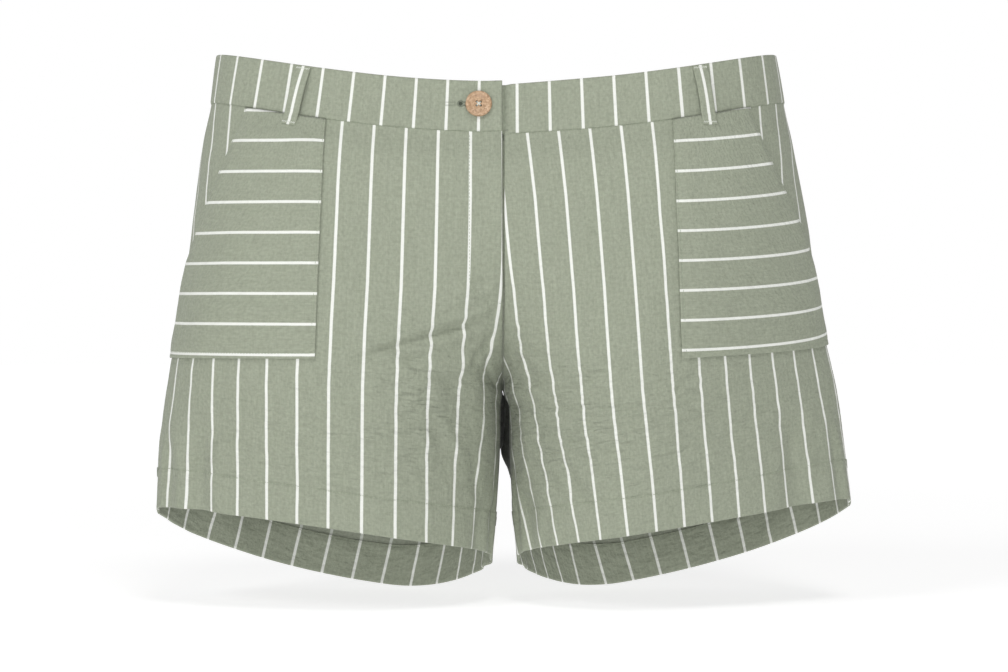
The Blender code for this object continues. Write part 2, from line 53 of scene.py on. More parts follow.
# Levels, walls and gaps, as in the part's source.
BAND_TOP = 0.0235
BAND_SEAM = -0.0125
CROTCH = -0.1985
HEM_FOLD = -0.2870
HEM = -0.3190
SEAM_GAP = 0.0004
TOP_OF_PANELS = BAND_SEAM - SEAM_GAP
BAND_WALL = 0.0020
BAND_PROUD = 0.0008
POCKET_WALL = 0.0010
POCKET_GAP = 0.0007
LOOP_WALL = 0.0014
LAYER_GAP = 0.0004
PANEL_WALL = 0.0012

SECTION_COLUMNS = (
    "level", "half_right", "half_left", "front", "back", "crest_right", "crest_left",
    "turn_front", "turn_back", "gap_right", "gap_left",
)
SECTIONS = (
    (+0.0235, 0.2134, 0.2040, 0.0760, 0.0820, 0.100, 0.095, 2.9, 2.3, 0.0002, 0.0002),
    (-0.0125, 0.2178, 0.2104, 0.0830, 0.0900, 0.100, 0.095, 4.6, 2.9, 0.0002, 0.0002),
    (-0.0350, 0.2222, 0.2150, 0.0920, 0.1000, 0.102, 0.095, 7.0, 4.6, 0.0002, 0.0002),
    (-0.0600, 0.2266, 0.2204, 0.0945, 0.1060, 0.103, 0.096, 12.0, 6.9, 0.0002, 0.0002),
    (-0.1000, 0.2316, 0.2280, 0.0970, 0.1130, 0.104, 0.097, 24.0, 13.0, 0.0002, 0.0002),
    (-0.1300, 0.2350, 0.2320, 0.0982, 0.1160, 0.105, 0.098, 38.0, 22.0, 0.0002, 0.0002),
    (-0.1550, 0.2388, 0.2352, 0.0986, 0.1170, 0.105, 0.098, 50.0, 36.0, 0.0002, 0.0002),
    (-0.1800, 0.2430, 0.2394, 0.0985, 0.1170, 0.105, 0.098, 67.0, 58.0, 0.0002, 0.0002),
    (-0.1985, 0.2466, 0.2432, 0.0978, 0.1150, 0.104, 0.098, 90.0, 90.0, 0.0002, 0.0002),
    (-0.2110, 0.2490, 0.2460, 0.0970, 0.1137, 0.104, 0.098, 90.0, 90.0, 0.0014, 0.0050),
    (-0.2400, 0.2530, 0.2518, 0.0937, 0.1090, 0.103, 0.097, 90.0, 90.0, 0.0018, 0.0053),
    (-0.2750, 0.2572, 0.2562, 0.0895, 0.1020, 0.100, 0.096, 90.0, 90.0, 0.0040, 0.0070),
    (-0.3190, 0.2592, 0.2614, 0.0840, 0.0930, 0.095, 0.094, 90.0, 90.0, 0.0078, 0.0112),
)
SLOPE_COLUMNS = ("level", "in_right", "in_left", "out_right", "out_left")
SLOPES = (
    (+0.0235, 0.00, 0.00, 0.00, 0.00),
    (-0.0350, 0.00, 0.00, 0.00, 0.00),
    (-0.1000, 0.00, 0.00, 0.00, 0.30),
    (-0.1400, 0.00, 0.00, 0.00, 0.42),
    (-0.1985, 0.00, 0.00, 0.00, 0.52),
    (-0.2400, 0.10, 0.10, 0.02, 0.55),
    (-0.2750, 0.16, 0.25, 0.05, 0.55),
    (-0.3190, 0.20, 0.35, 0.08, 0.55),
)
LINE_COLUMNS = ("level", "drop_front", "drop_back", "bend", "lift_front", "lift_back", "splay")
LINES = (
    (+0.0235, 0.0265, 0.0125, 2.0, 0.0000, +0.0000, 0.000),
    (-0.0125, 0.0275, 0.0130, 2.0, 0.0000, +0.0000, 0.000),
    (-0.1000, 0.0280, 0.0155, 2.0, 0.0000, +0.0000, 0.001),
    (-0.1500, 0.0283, 0.0195, 1.9, 0.0000, -0.0040, 0.0020),
    (-0.1800, 0.0285, 0.0248, 1.8, 0.0000, -0.0110, 0.0030),
    (-0.1985, 0.0287, 0.0287, 1.7, 0.0012, -0.0180, 0.0040),
    (-0.2400, 0.0290, 0.0290, 1.4, 0.0050, -0.0300, 0.0056),
    (-0.2750, 0.0335, 0.0335, 1.2, 0.0100, -0.0400, 0.0064),
    (-0.3190, 0.0370, 0.0370, 1.0, 0.0150, -0.0385, 0.0062),
)
LIFT_SHAPES = {"front": (0.4, 0.6), "back": (1.5, 1.25)}
SPLAY_SHAPES = {"front": 4.0, "back": 1.2}
CREST_SOFT = 0.2
ROW_LENGTH = 0.34

# The largest folds, each a broad soft hollow with a low ridge on both sides: place along the row
# and level of both ends, how far the line between them bows, its width and its depth.
DRAPES = {
    (RIGHT, False): (
        (0.190, -0.180, 0.170, -0.236, +0.0000, 0.0150, -0.0014),
        (0.140, -0.288, 0.150, -0.335, +0.0000, 0.0150, 0.0026),
        (0.450, -0.178, 0.110, -0.151, -0.0030, 0.0110, 0.0014),
        (0.775, -0.250, 0.775, -0.330, +0.0020, 0.0140, 0.0024),
    ),
    (LEFT, False): (
        (0.150, -0.275, 0.150, -0.335, +0.0000, 0.0160, 0.0036),
        (0.250, -0.205, 0.480, -0.203, -0.0010, 0.0120, 0.0012),
        (0.765, -0.250, 0.770, -0.330, -0.0020, 0.0140, 0.0022),
    ),
    (RIGHT, True): (
        (0.090, -0.205, 0.420, -0.232, -0.0080, 0.0130, 0.0032),
        (0.620, -0.120, 0.560, -0.245, +0.0080, 0.0180, 0.0030),
        (0.800, -0.190, 0.740, -0.325, +0.0040, 0.0150, 0.0028),
        (0.300, -0.060, 0.420, -0.150, +0.0060, 0.0180, 0.0020),
    ),
    (LEFT, True): (
        (0.080, -0.208, 0.380, -0.240, -0.0070, 0.0130, 0.0030),
        (0.590, -0.135, 0.610, -0.262, -0.0070, 0.0170, 0.0028),
        (0.820, -0.175, 0.770, -0.320, +0.0040, 0.0150, 0.0026),
        (0.280, -0.075, 0.400, -0.160, +0.0050, 0.0180, 0.0018),
    ),
}
DRAPE_RIDGE = 0.35
DRAPE_TOP = 0.030
SEAM_SOFT = 0.065
# How far folds run on past their ends, how softly they end, and how the smaller ones widen.
PAST_END = 0.20
END_FADE = 0.45
FOLD_WIDENS = 0.5

# Behind the fork the backs lean together: how far behind the inseam, how wide, by how much, and
# where that ends.
LEANS = {
    RIGHT: (0.0150, 0.0085, 0.0044, -0.2425, 0.0050),
    LEFT: (0.0290, 0.0098, 0.0095, -0.2720, 0.0370),
}
LEAN_TOP = -0.1953
LEAN_OPENS = 0.0105

CLOSURE_SAG = 0.0026
SAG_REACH = 0.070
SAG_END = -0.060
UNDERLAP_END = 0.034
UNDERLAP_STEP = 0.007
FLY_GAP = 0.0012
FLY_END = -0.128
FLY_CLOSED = -0.190
SHIELD_WIDTH = 0.034
SHIELD_INNER = 0.010
SHIELD_ROUND = 0.030
SHIELD_WALL = 0.0010
SHIELD_DEPTH = -PANEL_WALL - LAYER_GAP - 0.0002

POCKETS = {
    RIGHT: {"top": 0.1262, "bottom": 0.1335, "foot": -0.2020, "foot_rise": -0.0005},
    LEFT: {"top": 0.1214, "bottom": 0.1277, "foot": -0.2020, "foot_rise": 0.0100},
}
OPENING_START = 0.76
OPENING_END = -0.158
OPENING_CURVE = 1.45
EDGE_SIDE = 1 - 0.0006
# Rough lengths across a pocket, down it and in from its opening, for what lies beside its edges.
POCKET_WIDE = 0.12
POCKET_DEEP = 0.18
POCKET_SLANT = 0.13
POCKET_SEEDS = {RIGHT: 51, LEFT: 52}

LOOP_WIDTH = 0.0110
LOOP_TAIL = 0.0090
LOOP_TOP = BAND_TOP - 0.0010
LOOP_BULGE = 0.0024
LOOPS = {
    "loop_front_right": (0.622, 0.645, RIGHT, False),
    "loop_front_left": (0.640, 0.650, LEFT, False),
    "loop_back_right": (0.760, 0.765, RIGHT, True),
    "loop_back_left": (0.760, 0.765, LEFT, True),
    "loop_centre_back": (0.000, 0.000, LEFT, True),
}

BUTTON_HOLE = 0.0008
BUTTON_HOLE_RING = 0.0020
BUTTON_X = -0.0170
BUTTON_Z = -0.0203
BUTTON_SEAT = 0.0004
# Radius and height of the turned form, from the dished middle over the rim to the underside.
BUTTON_PROFILE = (
    (0.0035, 0.00227), (0.0056, 0.00245), (0.0064, 0.00275), (0.0070, 0.00318), (0.0076, 0.00338),
    (0.0084, 0.00336), (0.0090, 0.00312), (0.0094, 0.0026), (0.0095, 0.0019), (0.0093, 0.0012),
    (0.0086, 0.0005), (0.0074, 0.0001), (0.0050, 0.0),
)
HOLE_TURNS = [pi / 4 + k * pi / 2 for k in range(4)]
THREAD_PATHS = [(turn, shift) for turn in HOLE_TURNS[:3] for shift in (-0.00022, 0.00022)]
EYELET_X = 0.0300

LAP_LIFT = 0.0016
LAP_REACH = 0.016

# Metres of cloth for one step of along, near the centre and near the side seam.
CENTRE_RUN = 0.21
SIDE_RUN = 0.26

# The cloth's own make.
CLOTH = 0.0005
HEM_RADIUS = 0.0011
HEM_INSIDE = -2 * HEM_RADIUS
HEM_BEND = HEM + HEM_RADIUS + 0.001
HEM_STITCH = HEM + 0.0308
# Turned-in edges of a panel, at the centre and at the side: width turned in, and its run.
PANEL_EDGES = ((0.010, 0.26), (0.012, 0.28))
EDGE_COLUMNS = 9
ALLOWANCE_TOP = -0.0150
ALLOWANCE_DEPTH = -0.0021
STITCH = 0.0025
THREAD = 0.00017
# A stitch from end to end: place along it, thickness and rise.
STITCH_PROFILE = (
    (-0.5, 0.45, -0.7), (-0.36, 0.95, 0.1), (0.0, 1.05, 0.45), (0.36, 0.95, 0.1), (0.5, 0.45, -0.7),
)
FLY_TURN = -0.118
TACK_PLACES = (4, 96)
STRIPE_SHARE = 0.092
CRINKLE = 0.0013
MOTTLE = 0.9
RUMPLE = 0.0032
# Painted shade: the near-black colour that the cloth behind the fork is darkened towards.
PAINTED_SHADE_BETWEEN = (0.020, 0.022, 0.018, 1)
# Threads of warp and weft for one stripe's distance, as far as the finish shows them.
WARP_COUNT = 56
WEFT_COUNT = 48
# Distance between stripes on the small pieces.
PLAIN_PITCH = 0.0236

# The floor, just below the hems, and the low walls round it.
FLOOR = -0.3855
FLOOR_REACH = 14
WALLS_TOP = 2.6

# Where the stripes lie: on each row, the place of one stripe, how far apart they are from there
# towards the centre and towards the side, and the same for the innermost ones.
INNERMOST = 3.0
STRIPES = {
    (RIGHT, False): (
        (-0.0125, 0.1144, 0.0230, 0.0238, 0.0230),
        (-0.0600, 0.1169, 0.0236, 0.0238, 0.0236),
        (-0.1250, 0.1194, 0.0240, 0.0236, 0.0240),
        (-0.1600, 0.1214, 0.0241, 0.0234, 0.0250),
        (-0.2000, 0.1232, 0.0243, 0.0232, 0.0268),
        (-0.2350, 0.1237, 0.0243, 0.0231, 0.0262),
        (-0.2700, 0.1241, 0.0244, 0.0230, 0.0244),
        (-0.3200, 0.1248, 0.0244, 0.0229, 0.0232),
    ),
    (LEFT, False): (
        (-0.0125, 0.1069, 0.0224, 0.0224, 0.0224),
        (-0.0600, 0.1108, 0.0220, 0.0220, 0.0220),
        (-0.1250, 0.1155, 0.0219, 0.0218, 0.0219),
        (-0.1700, 0.1187, 0.0222, 0.0218, 0.0233),
        (-0.2050, 0.1211, 0.0223, 0.0218, 0.0231),
        (-0.2350, 0.1239, 0.0222, 0.0218, 0.0225),
        (-0.2700, 0.1269, 0.0217, 0.0218, 0.0205),
        (-0.3200, 0.1308, 0.0211, 0.0218, 0.0186),
    ),
    (RIGHT, True): (
        (-0.0125, 0.0770, 0.0244, 0.0244, 0.0244),
        (-0.0600, 0.0810, 0.0244, 0.0244, 0.0244),
        (-0.1400, 0.0890, 0.0244, 0.0244, 0.0244),
        (-0.2400, 0.1030, 0.0244, 0.0244, 0.0244),
        (-0.3200, 0.1188, 0.0234, 0.0244, 0.0215),
    ),
    (LEFT, True): (
        (-0.0125, 0.0770, 0.0244, 0.0244, 0.0244),
        (-0.0600, 0.0815, 0.0244, 0.0244, 0.0244),
        (-0.1400, 0.0905, 0.0242, 0.0244, 0.0242),
        (-0.2400, 0.1060, 0.0238, 0.0244, 0.0238),
        (-0.3200, 0.1250, 0.0220, 0.0232, 0.0165),
    ),
}
# On the band: place of one stripe at mid height, the distance to the next, the same beyond the
# place BAND_TURN, and the share by which the stripes spread from the band's top edge to its seam.
BAND_TURN = {RIGHT: 0.133, LEFT: 0.115}
BAND_STRIPES = {RIGHT: (0.0398, 0.0229, 0.0251, 0.034), LEFT: (0.0572, 0.0234, 0.0255, 0.020)}
# On the pockets: height of one stripe at the inner edge, the distance to the next, and how far the
# stripes rise towards the side at the pocket's top and foot.
POCKET_STRIPES = {RIGHT: (-0.1994, 0.0217, 0.0030, 0.0008), LEFT: (-0.1961, 0.0212, 0.0060, 0.0138)}

# Smaller folds, each a soft trough with a lip on both sides: the same, and then the lip's share.
FOLDS = {
    # The wearer's right front: drag lines that run up to the fork.
    (RIGHT, False): (
        (0.500, -0.179, 0.065, -0.147, -0.0030, 0.0027, 0.0024, 0.60),
        (0.420, -0.180, 0.155, -0.168, +0.0010, 0.0036, 0.0012, 0.45),
        (0.165, -0.182, 0.045, -0.160, -0.0010, 0.0026, 0.0016, 0.50),
        (0.075, -0.168, 0.080, -0.196, +0.0010, 0.0050, 0.0012, 0.40),
        (0.100, -0.133, 0.035, -0.131, +0.0000, 0.0028, 0.0007, 0.50),
        (0.100, -0.121, 0.050, -0.119, +0.0000, 0.0026, 0.0006, 0.50),
        (0.565, -0.184, 0.545, -0.195, +0.0020, 0.0030, 0.0006, 0.40),
        (0.330, -0.215, 0.250, -0.262, +0.0030, 0.0060, 0.0009, 0.40),
        (0.215, -0.240, 0.150, -0.285, +0.0030, 0.0060, 0.0012, 0.40),
        (0.640, -0.262, 0.540, -0.300, +0.0040, 0.0110, 0.0008, 0.40),
        (0.775, -0.262, 0.775, -0.330, +0.0020, 0.0065, 0.0020, 0.55),
        (0.150, -0.292, 0.160, -0.340, +0.0010, 0.0065, 0.0014, 0.50),
        (0.880, -0.262, 0.870, -0.330, -0.0020, 0.0060, 0.0022, 0.50),
        (0.060, -0.262, 0.070, -0.330, +0.0020, 0.0060, 0.0022, 0.40),
        (0.560, -0.060, 0.450, -0.115, +0.0040, 0.0140, 0.0008, 0.30),
    ),
    # The wearer's left front: short level creases between the fork and the pocket.
    (LEFT, False): (
        (0.020, -0.161, 0.058, -0.157, +0.0000, 0.0022, 0.0007, 0.50),
        (0.030, -0.157, 0.090, -0.150, +0.0000, 0.0024, 0.0006, 0.50),
        (0.080, -0.162, 0.200, -0.174, -0.0010, 0.0024, 0.0008, 0.50),
        (0.110, -0.174, 0.165, -0.185, +0.0000, 0.0026, 0.0006, 0.50),
        (0.175, -0.186, 0.245, -0.195, +0.0010, 0.0030, 0.0005, 0.50),
        (0.300, -0.186, 0.550, -0.189, -0.0012, 0.0028, 0.0008, 0.50),
        (0.325, -0.204, 0.405, -0.206, -0.0006, 0.0024, 0.0007, 0.50),
        (0.405, -0.202, 0.555, -0.200, -0.0022, 0.0026, 0.0008, 0.50),
        (0.550, -0.208, 0.590, -0.196, +0.0004, 0.0022, 0.0011, 0.50),
        (0.550, -0.204, 0.600, -0.207, -0.0006, 0.0024, 0.0006, 0.50),
        (0.235, -0.211, 0.425, -0.214, -0.0010, 0.0026, 0.0008, 0.50),
        (0.425, -0.215, 0.600, -0.222, +0.0010, 0.0026, 0.0008, 0.50),
        (0.480, -0.145, 0.540, -0.147, -0.0005, 0.0026, 0.0005, 0.50),
        (0.510, -0.170, 0.545, -0.164, -0.0005, 0.0026, 0.0005, 0.50),
        (0.500, -0.178, 0.550, -0.172, -0.0008, 0.0026, 0.0006, 0.50),
        (0.280, -0.220, 0.340, -0.225, +0.0008, 0.0026, 0.0007, 0.50),
        (0.185, -0.240, 0.250, -0.248, +0.0005, 0.0030, 0.0006, 0.50),
        (0.295, -0.238, 0.380, -0.240, -0.0010, 0.0024, 0.0008, 0.50),
        (0.305, -0.246, 0.385, -0.255, +0.0008, 0.0026, 0.0008, 0.50),
        (0.390, -0.248, 0.450, -0.261, +0.0008, 0.0028, 0.0008, 0.50),
        (0.395, -0.267, 0.450, -0.272, -0.0005, 0.0026, 0.0005, 0.50),
        (0.300, -0.257, 0.365, -0.290, +0.0010, 0.0045, 0.0016, 0.50),
        (0.070, -0.190, 0.120, -0.262, +0.0040, 0.0070, 0.0009, 0.50),
        (0.760, -0.262, 0.770, -0.330, -0.0020, 0.0065, 0.0018, 0.50),
        (0.245, -0.292, 0.235, -0.340, -0.0010, 0.0070, 0.0014, 0.50),
        (0.880, -0.262, 0.880, -0.330, +0.0020, 0.0060, 0.0020, 0.50),
        (0.070, -0.262, 0.060, -0.330, +0.0020, 0.0060, 0.0020, 0.40),
        (0.550, -0.070, 0.440, -0.130, -0.0040, 0.0140, 0.0008, 0.30),
    ),
    # The back: soft drapes below the seat and drag lines from the fork.
    (RIGHT, True): (
        (0.095, -0.206, 0.400, -0.233, -0.0080, 0.0050, 0.0010, 0.50),
        (0.140, -0.238, 0.360, -0.268, -0.0050, 0.0055, 0.0018, 0.50),
        (0.110, -0.180, 0.250, -0.190, -0.0020, 0.0035, 0.0014, 0.50),
        (0.080, -0.262, 0.100, -0.330, +0.0020, 0.0070, 0.0020, 0.40),
        (0.480, -0.270, 0.500, -0.330, +0.0020, 0.0100, 0.0012, 0.40),
    ),
    (LEFT, True): (
        (0.085, -0.210, 0.360, -0.241, -0.0070, 0.0048, 0.0009, 0.50),
        (0.170, -0.246, 0.400, -0.262, -0.0040, 0.0050, 0.0016, 0.50),
        (0.120, -0.172, 0.280, -0.194, +0.0020, 0.0035, 0.0013, 0.50),
        (0.070, -0.262, 0.090, -0.330, +0.0020, 0.0070, 0.0018, 0.40),
        (0.450, -0.265, 0.430, -0.330, +0.0020, 0.0100, 0.0012, 0.40),
    ),
}

# Crumpled patches: the middle's place and level, reach across and up, how the small creases lie in
# degrees from level, how long and how broad they are, and their height.
CREASING = 1.4
CRUMPLES = {
    (RIGHT, False): (
        (0.270, -0.225, 0.080, 0.060, 55, 0.017, 0.0065, 0.00055),
        (0.080, -0.135, 0.035, 0.030, 20, 0.012, 0.0050, 0.00035),
        (0.290, -0.172, 0.070, 0.035, 12, 0.020, 0.0060, 0.00035),
        (0.420, -0.215, 0.060, 0.040, 15, 0.018, 0.0065, 0.00025),
        (0.500, -0.265, 0.120, 0.045, 5, 0.022, 0.0075, 0.00028),
        (0.780, -0.250, 0.070, 0.070, 80, 0.026, 0.0075, 0.00028),
    ),
    (LEFT, False): (
        (0.420, -0.195, 0.085, 0.055, 3, 0.030, 0.0058, 0.00040),
        (0.130, -0.190, 0.055, 0.060, -28, 0.018, 0.0058, 0.00055),
        (0.300, -0.250, 0.085, 0.045, -18, 0.020, 0.0062, 0.00055),
        (0.730, -0.255, 0.110, 0.050, 55, 0.020, 0.0075, 0.00030),
        (0.250, -0.100, 0.080, 0.050, 5, 0.024, 0.0070, 0.00018),
    ),
    (RIGHT, True): (
        (0.250, -0.225, 0.100, 0.060, -15, 0.024, 0.0068, 0.00050),
        (0.650, -0.240, 0.120, 0.070, 60, 0.024, 0.0080, 0.00035),
    ),
    (LEFT, True): (
        (0.240, -0.230, 0.100, 0.060, -20, 0.024, 0.0066, 0.00050),
        (0.670, -0.250, 0.120, 0.070, 65, 0.024, 0.0080, 0.00035),
    ),
}


# --- the surface ----------------------------------------------------------------------------------

def smooth_between(xs, ys, x):
    """A cubic curve through the rows, which never overshoots them. xs fall from row to row."""
    xs, ys, x = -np.asarray(xs), np.asarray(ys), -np.asarray(x, float)
    width = np.diff(xs)
    slope = np.diff(ys) / width
    before, after = slope[:-1], slope[1:]
    total = np.where(before + after == 0, 1, before + after)
    middle = np.where(before * after > 0, 2 * before * after / total, 0)
    tangent = np.concatenate([slope[:1], middle, slope[-1:]])
    i = np.clip(np.searchsorted(xs, x) - 1, 0, len(width) - 1)
    t = (x - xs[i]) / width[i]
    value = (2 * t**3 - 3 * t**2 + 1) * ys[i] + (3 * t**2 - 2 * t**3) * ys[i + 1]
    lean = (t**3 - 2 * t**2 + t) * tangent[i] + (t**3 - t**2) * tangent[i + 1]
    return value + width[i] * lean


COLUMNS = {}
for names, rows in ((SECTION_COLUMNS, SECTIONS), (SLOPE_COLUMNS, SLOPES), (LINE_COLUMNS, LINES)):
    levels, *values = np.array(rows).T
    COLUMNS.update({name: (levels, column) for name, column in zip(names[1:], values)})


def read(name, level):
    """A column of the tables at a level."""
    return smooth_between(*COLUMNS[name], level)


def smoothstep(x):
    x = np.clip(x, 0, 1)
    return x * x * (3 - 2 * x)


def hump(distance, width):
    return np.exp(-((distance / width) ** 2))


def sag(x, level):
    near = np.clip(1 - x / SAG_REACH, 0, 1) ** 2
    high = np.clip((level - SAG_END) / (BAND_TOP - SAG_END), 0, 1)
    return CLOSURE_SAG * near * high


def plan(level, side, back):
    """Half width, depth, crest, gap, half axis of the inner curve and how far that turns."""
    half, crest, gap = (read(size + WORDS[side], level) for size in ("half_", "crest_", "gap_"))
    depth, turn = read(FACES[back], level), np.radians(read("turn_" + FACES[back], level))
    return half, depth, crest, gap, (crest - gap) / np.sin(turn), turn


def slope(reach):
    """An even fall from 1 at the crest to 0 at the seam, with the crest itself softened."""
    fall = np.sqrt(reach**2 + CREST_SOFT**2) - CREST_SOFT
    return 1 - fall / (np.sqrt(1 + CREST_SOFT**2) - CREST_SOFT)


def body_surface(along, level, side, back):
    """Points of the surface before its folds."""
    along, level = np.broadcast_arrays(np.asarray(along, float), np.asarray(level, float))
    half, depth, crest, gap, inner_axis, turn = plan(level, side, back)
    inner = along < 0.5
    angle = np.where(inner, (1 - 2 * along) * turn, (2 * along - 1) * pi / 2)
    x = crest + np.where(inner, -inner_axis, half - crest) * np.sin(angle)
    y = depth * np.cos(angle)
    if not back:
        even = np.where(inner, read("in_" + WORDS[side], level), read("out_" + WORDS[side], level))
        y = -depth * (np.cos(angle) * (1 - even) + slope(np.sin(angle)) * even)
    out = np.clip((x - gap) / (half - gap), 0, 1)
    face = FACES[back]
    crest_shape = np.abs(np.cos(angle)) ** np.where(inner, *LIFT_SHAPES[face])
    z = level - read("drop_" + face, level) * (1 - out ** read("bend", level))
    z = z + read("lift_" + face, level) * crest_shape
    if side == LEFT:
        z = z + read("splay", level) * out ** SPLAY_SHAPES[face]
        if not back:
            z = z - sag(x, level)
    return np.stack([side * x, y, z], axis=-1)


def with_normals(along, level, side, back):
    def near(aside, up):
        return body_surface(along + aside, level + up, side, back)

    step, rise = 0.0015, 0.0010
    across, down = near(step, 0) - near(-step, 0), near(0, -rise) - near(0, rise)
    normal = np.cross(down, across) * (side * (-1 if back else 1))
    return near(0, 0), normal / np.linalg.norm(normal, axis=-1, keepdims=True)


def along_at(x, level, side):
    """The place along a front's row that is x from the middle, between centre and crest."""
    _, _, crest, _, inner_axis, turn = plan(level, side, False)
    return 0.5 * (1 - np.arcsin(np.clip((crest - x) / inner_axis, -1, 1)) / turn)


def along_beyond(x, level, side):
    """The same between crest and side seam."""
    half, _, crest, _, _, _ = plan(level, side, False)
    return 0.5 + np.arcsin(np.clip((x - crest) / (half - crest), 0, 1)) / pi


def level_for(height, along, side):
    """The row of a front that passes at a height, found in a few rounds."""
    level = np.asarray(height, float)
    for _ in range(8):
        level = level + (height - body_surface(along, level, side, False)[..., 2])
    return level


# --- folds ----------------------------------------------------------------------------------------

def uneven(across, up, seed, cell):
    """Soft hills and hollows about one cell apart, between -1 and 1, the same in each run."""
    lattice = np.random.RandomState(seed).uniform(-1, 1, (97, 97))
    i, j = np.asarray(across) / cell + 40, np.asarray(up) / cell + 60
    i0, j0 = np.floor(i).astype(int), np.floor(j).astype(int)
    fi, fj = smoothstep(i - i0), smoothstep(j - j0)
    a, b = lattice[i0 % 97, j0 % 97], lattice[(i0 + 1) % 97, j0 % 97]
    c, d = lattice[i0 % 97, (j0 + 1) % 97], lattice[(i0 + 1) % 97, (j0 + 1) % 97]
    return (a * (1 - fi) + b * fi) * (1 - fj) + (c * (1 - fi) + d * fi) * fj


def seed_for(first, side, back):
    return first + (2 if side == LEFT else 0) + (1 if back else 0)


def hollow(along, level, line, widening):
    """A soft hollow along a line, with a lip on both sides. It widens from start to end."""
    place, start, end_place, end, bow, width, depth, lip = line
    run, fall = (end_place - place) * ROW_LENGTH, end - start
    length = np.hypot(run, fall)
    across, up = (along - place) * ROW_LENGTH, level - start
    share = (across * run + up * fall) / length**2
    off = (up * run - across * fall) / length - bow * (1 - (2 * share - 1) ** 2)
    ends = smoothstep((share + PAST_END) / END_FADE) * smoothstep((1 + PAST_END - share) / END_FADE)
    broad = width * (1 + widening * (np.clip(share, 0, 1) - 0.5))
    return depth * ends * (hump(off, broad) - lip * hump(np.abs(off) - 2 * broad, broad))


def patch(along, level, place, height, reach, rise):
    """Both distances from the middle of a crumpled patch, and its strength here."""
    across, up = (along - place) * ROW_LENGTH, level - height
    return across, up, np.exp(-((across / reach) ** 2) - (up / rise) ** 2)


def crumpling(along, level, side, back):
    """The cloth's slight unevenness and its crumpled patches."""
    seed = seed_for(11, side, back)
    run = along * ROW_LENGTH
    total = 0.0008 * uneven(run, level, seed, 0.036)
    total = total + 0.00036 * uneven(run, level, seed + 20, 0.011)
    for *place, lean, long, short, size in CRUMPLES[side, back]:
        across, up, strength = patch(along, level, *place)
        lie, rise = cos(radians(lean)), sin(radians(lean))
        p, q = (across * lie + up * rise) / long, (up * lie - across * rise) / short
        waves = uneven(p, q, seed + 40, 1.0) + 0.5 * uneven(p * 2, q * 1.7, seed + 60, 1.0)
        total = total + CREASING * size * strength * waves
    return total


def folded_in(along, level, side, back):
    """How far the folds lead the cloth inwards here. They fade out at the seams."""
    along, level = np.broadcast_arrays(np.asarray(along, float), np.asarray(level, float))
    total = crumpling(along, level, side, back)
    total += sum(hollow(along, level, (*fold, DRAPE_RIDGE), 0) for fold in DRAPES[side, back])
    total += sum(hollow(along, level, fold, FOLD_WIDENS) for fold in FOLDS[side, back])
    if back:
        behind, width, lean, foot, foot_soft = LEANS[side]
        reach = smoothstep((LEAN_TOP - level) / LEAN_OPENS) * smoothstep((level - foot) / foot_soft)
        total -= lean * reach * hump(along * ROW_LENGTH - behind, width)
    seams = smoothstep(along / SEAM_SOFT) * smoothstep((1 - along) / SEAM_SOFT)
    return total * seams * smoothstep((TOP_OF_PANELS - level) / DRAPE_TOP)


def creased(along, level, side, back):
    """How crumpled the cloth is here, for the fine creases of its finish: 0 to about 1."""
    return sum(
        size / 0.0005 * patch(along, level, *place)[2]
        for *place, _, _, _, size in CRUMPLES[side, back]
    )


def painted_shade_between_legs(along, level, back):
    """1 on the cloth behind the fork, where no light gets in and the cotton's colour is darkened as
    painted shade, and 0 elsewhere.
    """
    across = smoothstep((0.150 - along) / 0.060) * back
    below, above = (CROTCH + 0.004 - level) / 0.008, (level + 0.275) / 0.030
    return across * smoothstep(below) * smoothstep(above)


def lap(along, level, side, back):
    """The closure's upper layer stands a little proud at its edge."""
    if side == LEFT or back:
        return 0.0
    closed = smoothstep((level - FLY_CLOSED) / (FLY_END - FLY_CLOSED))
    return LAP_LIFT * closed * smoothstep(1 - along * CENTRE_RUN / LAP_REACH)


def moved(along, level, side, back, offset):
    """Points of the folded cloth, moved out by offset."""
    points, normals = with_normals(along, level, side, back)
    out = offset - folded_in(along, level, side, back) + lap(along, level, side, back)
    return points + normals * out[..., None]


# --- meshes ---------------------------------------------------------------------------------------

def linked(name, data):
    """A new object of the scene."""
    made = bpy.data.objects.new(name, data)
    bpy.context.collection.objects.link(made)
    return made


def new_object(name, vertices, faces, uv, materials):
    """A smooth-shaded piece. uv has one pair for each vertex, in stripes."""
    mesh = bpy.data.meshes.new(name)
    mesh.from_pydata(np.asarray(vertices).tolist(), [], [tuple(int(i) for i in f) for f in faces])
    for material in materials:
        mesh.materials.append(material)
    layer = mesh.uv_layers.new(name="cloth")
    corners = np.empty(len(mesh.loops), dtype=np.int32)
    mesh.loops.foreach_get("vertex_index", corners)
    layer.data.foreach_set("uv", np.asarray(uv, float)[corners].ravel())
    smooth_shaded(mesh)
    return linked(name, mesh)


def smooth_shaded(mesh):
    mesh.polygons.foreach_set("use_smooth", np.ones(len(mesh.polygons), dtype=bool))
    mesh.update()


def faced_out(mesh):
    """Turns the faces of a closed mesh outwards."""
    faces = bmesh.new()
    faces.from_mesh(mesh)
    bmesh.ops.recalc_face_normals(faces, faces=faces.faces)
    faces.to_mesh(mesh)
    faces.free()


def dress(piece, node=None):
    """Lets a piece ride on the body and stand for its CAD node."""
    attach(piece, "root")
    if node:
        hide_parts(node)
        piece.name = node + "_piece"
    return piece


def quads(index, flip):
    """Faces between the vertices of a grid."""
    a, b, c, d = index[:-1, :-1], index[:-1, 1:], index[1:, 1:], index[1:, :-1]
    order = (d, c, b, a) if flip else (a, b, c, d)
    return np.stack(order, axis=-1).reshape(-1, 4)


def ring_quads(rings, sides, first=0):
    """Faces between rings of vertices that follow one another."""
    faces = []
    for start in range(first, first + (rings - 1) * sides, sides):
        for k in range(sides):
            a, b = start + k, start + (k + 1) % sides
            faces.append((a, b, b + sides, a + sides))
    return faces


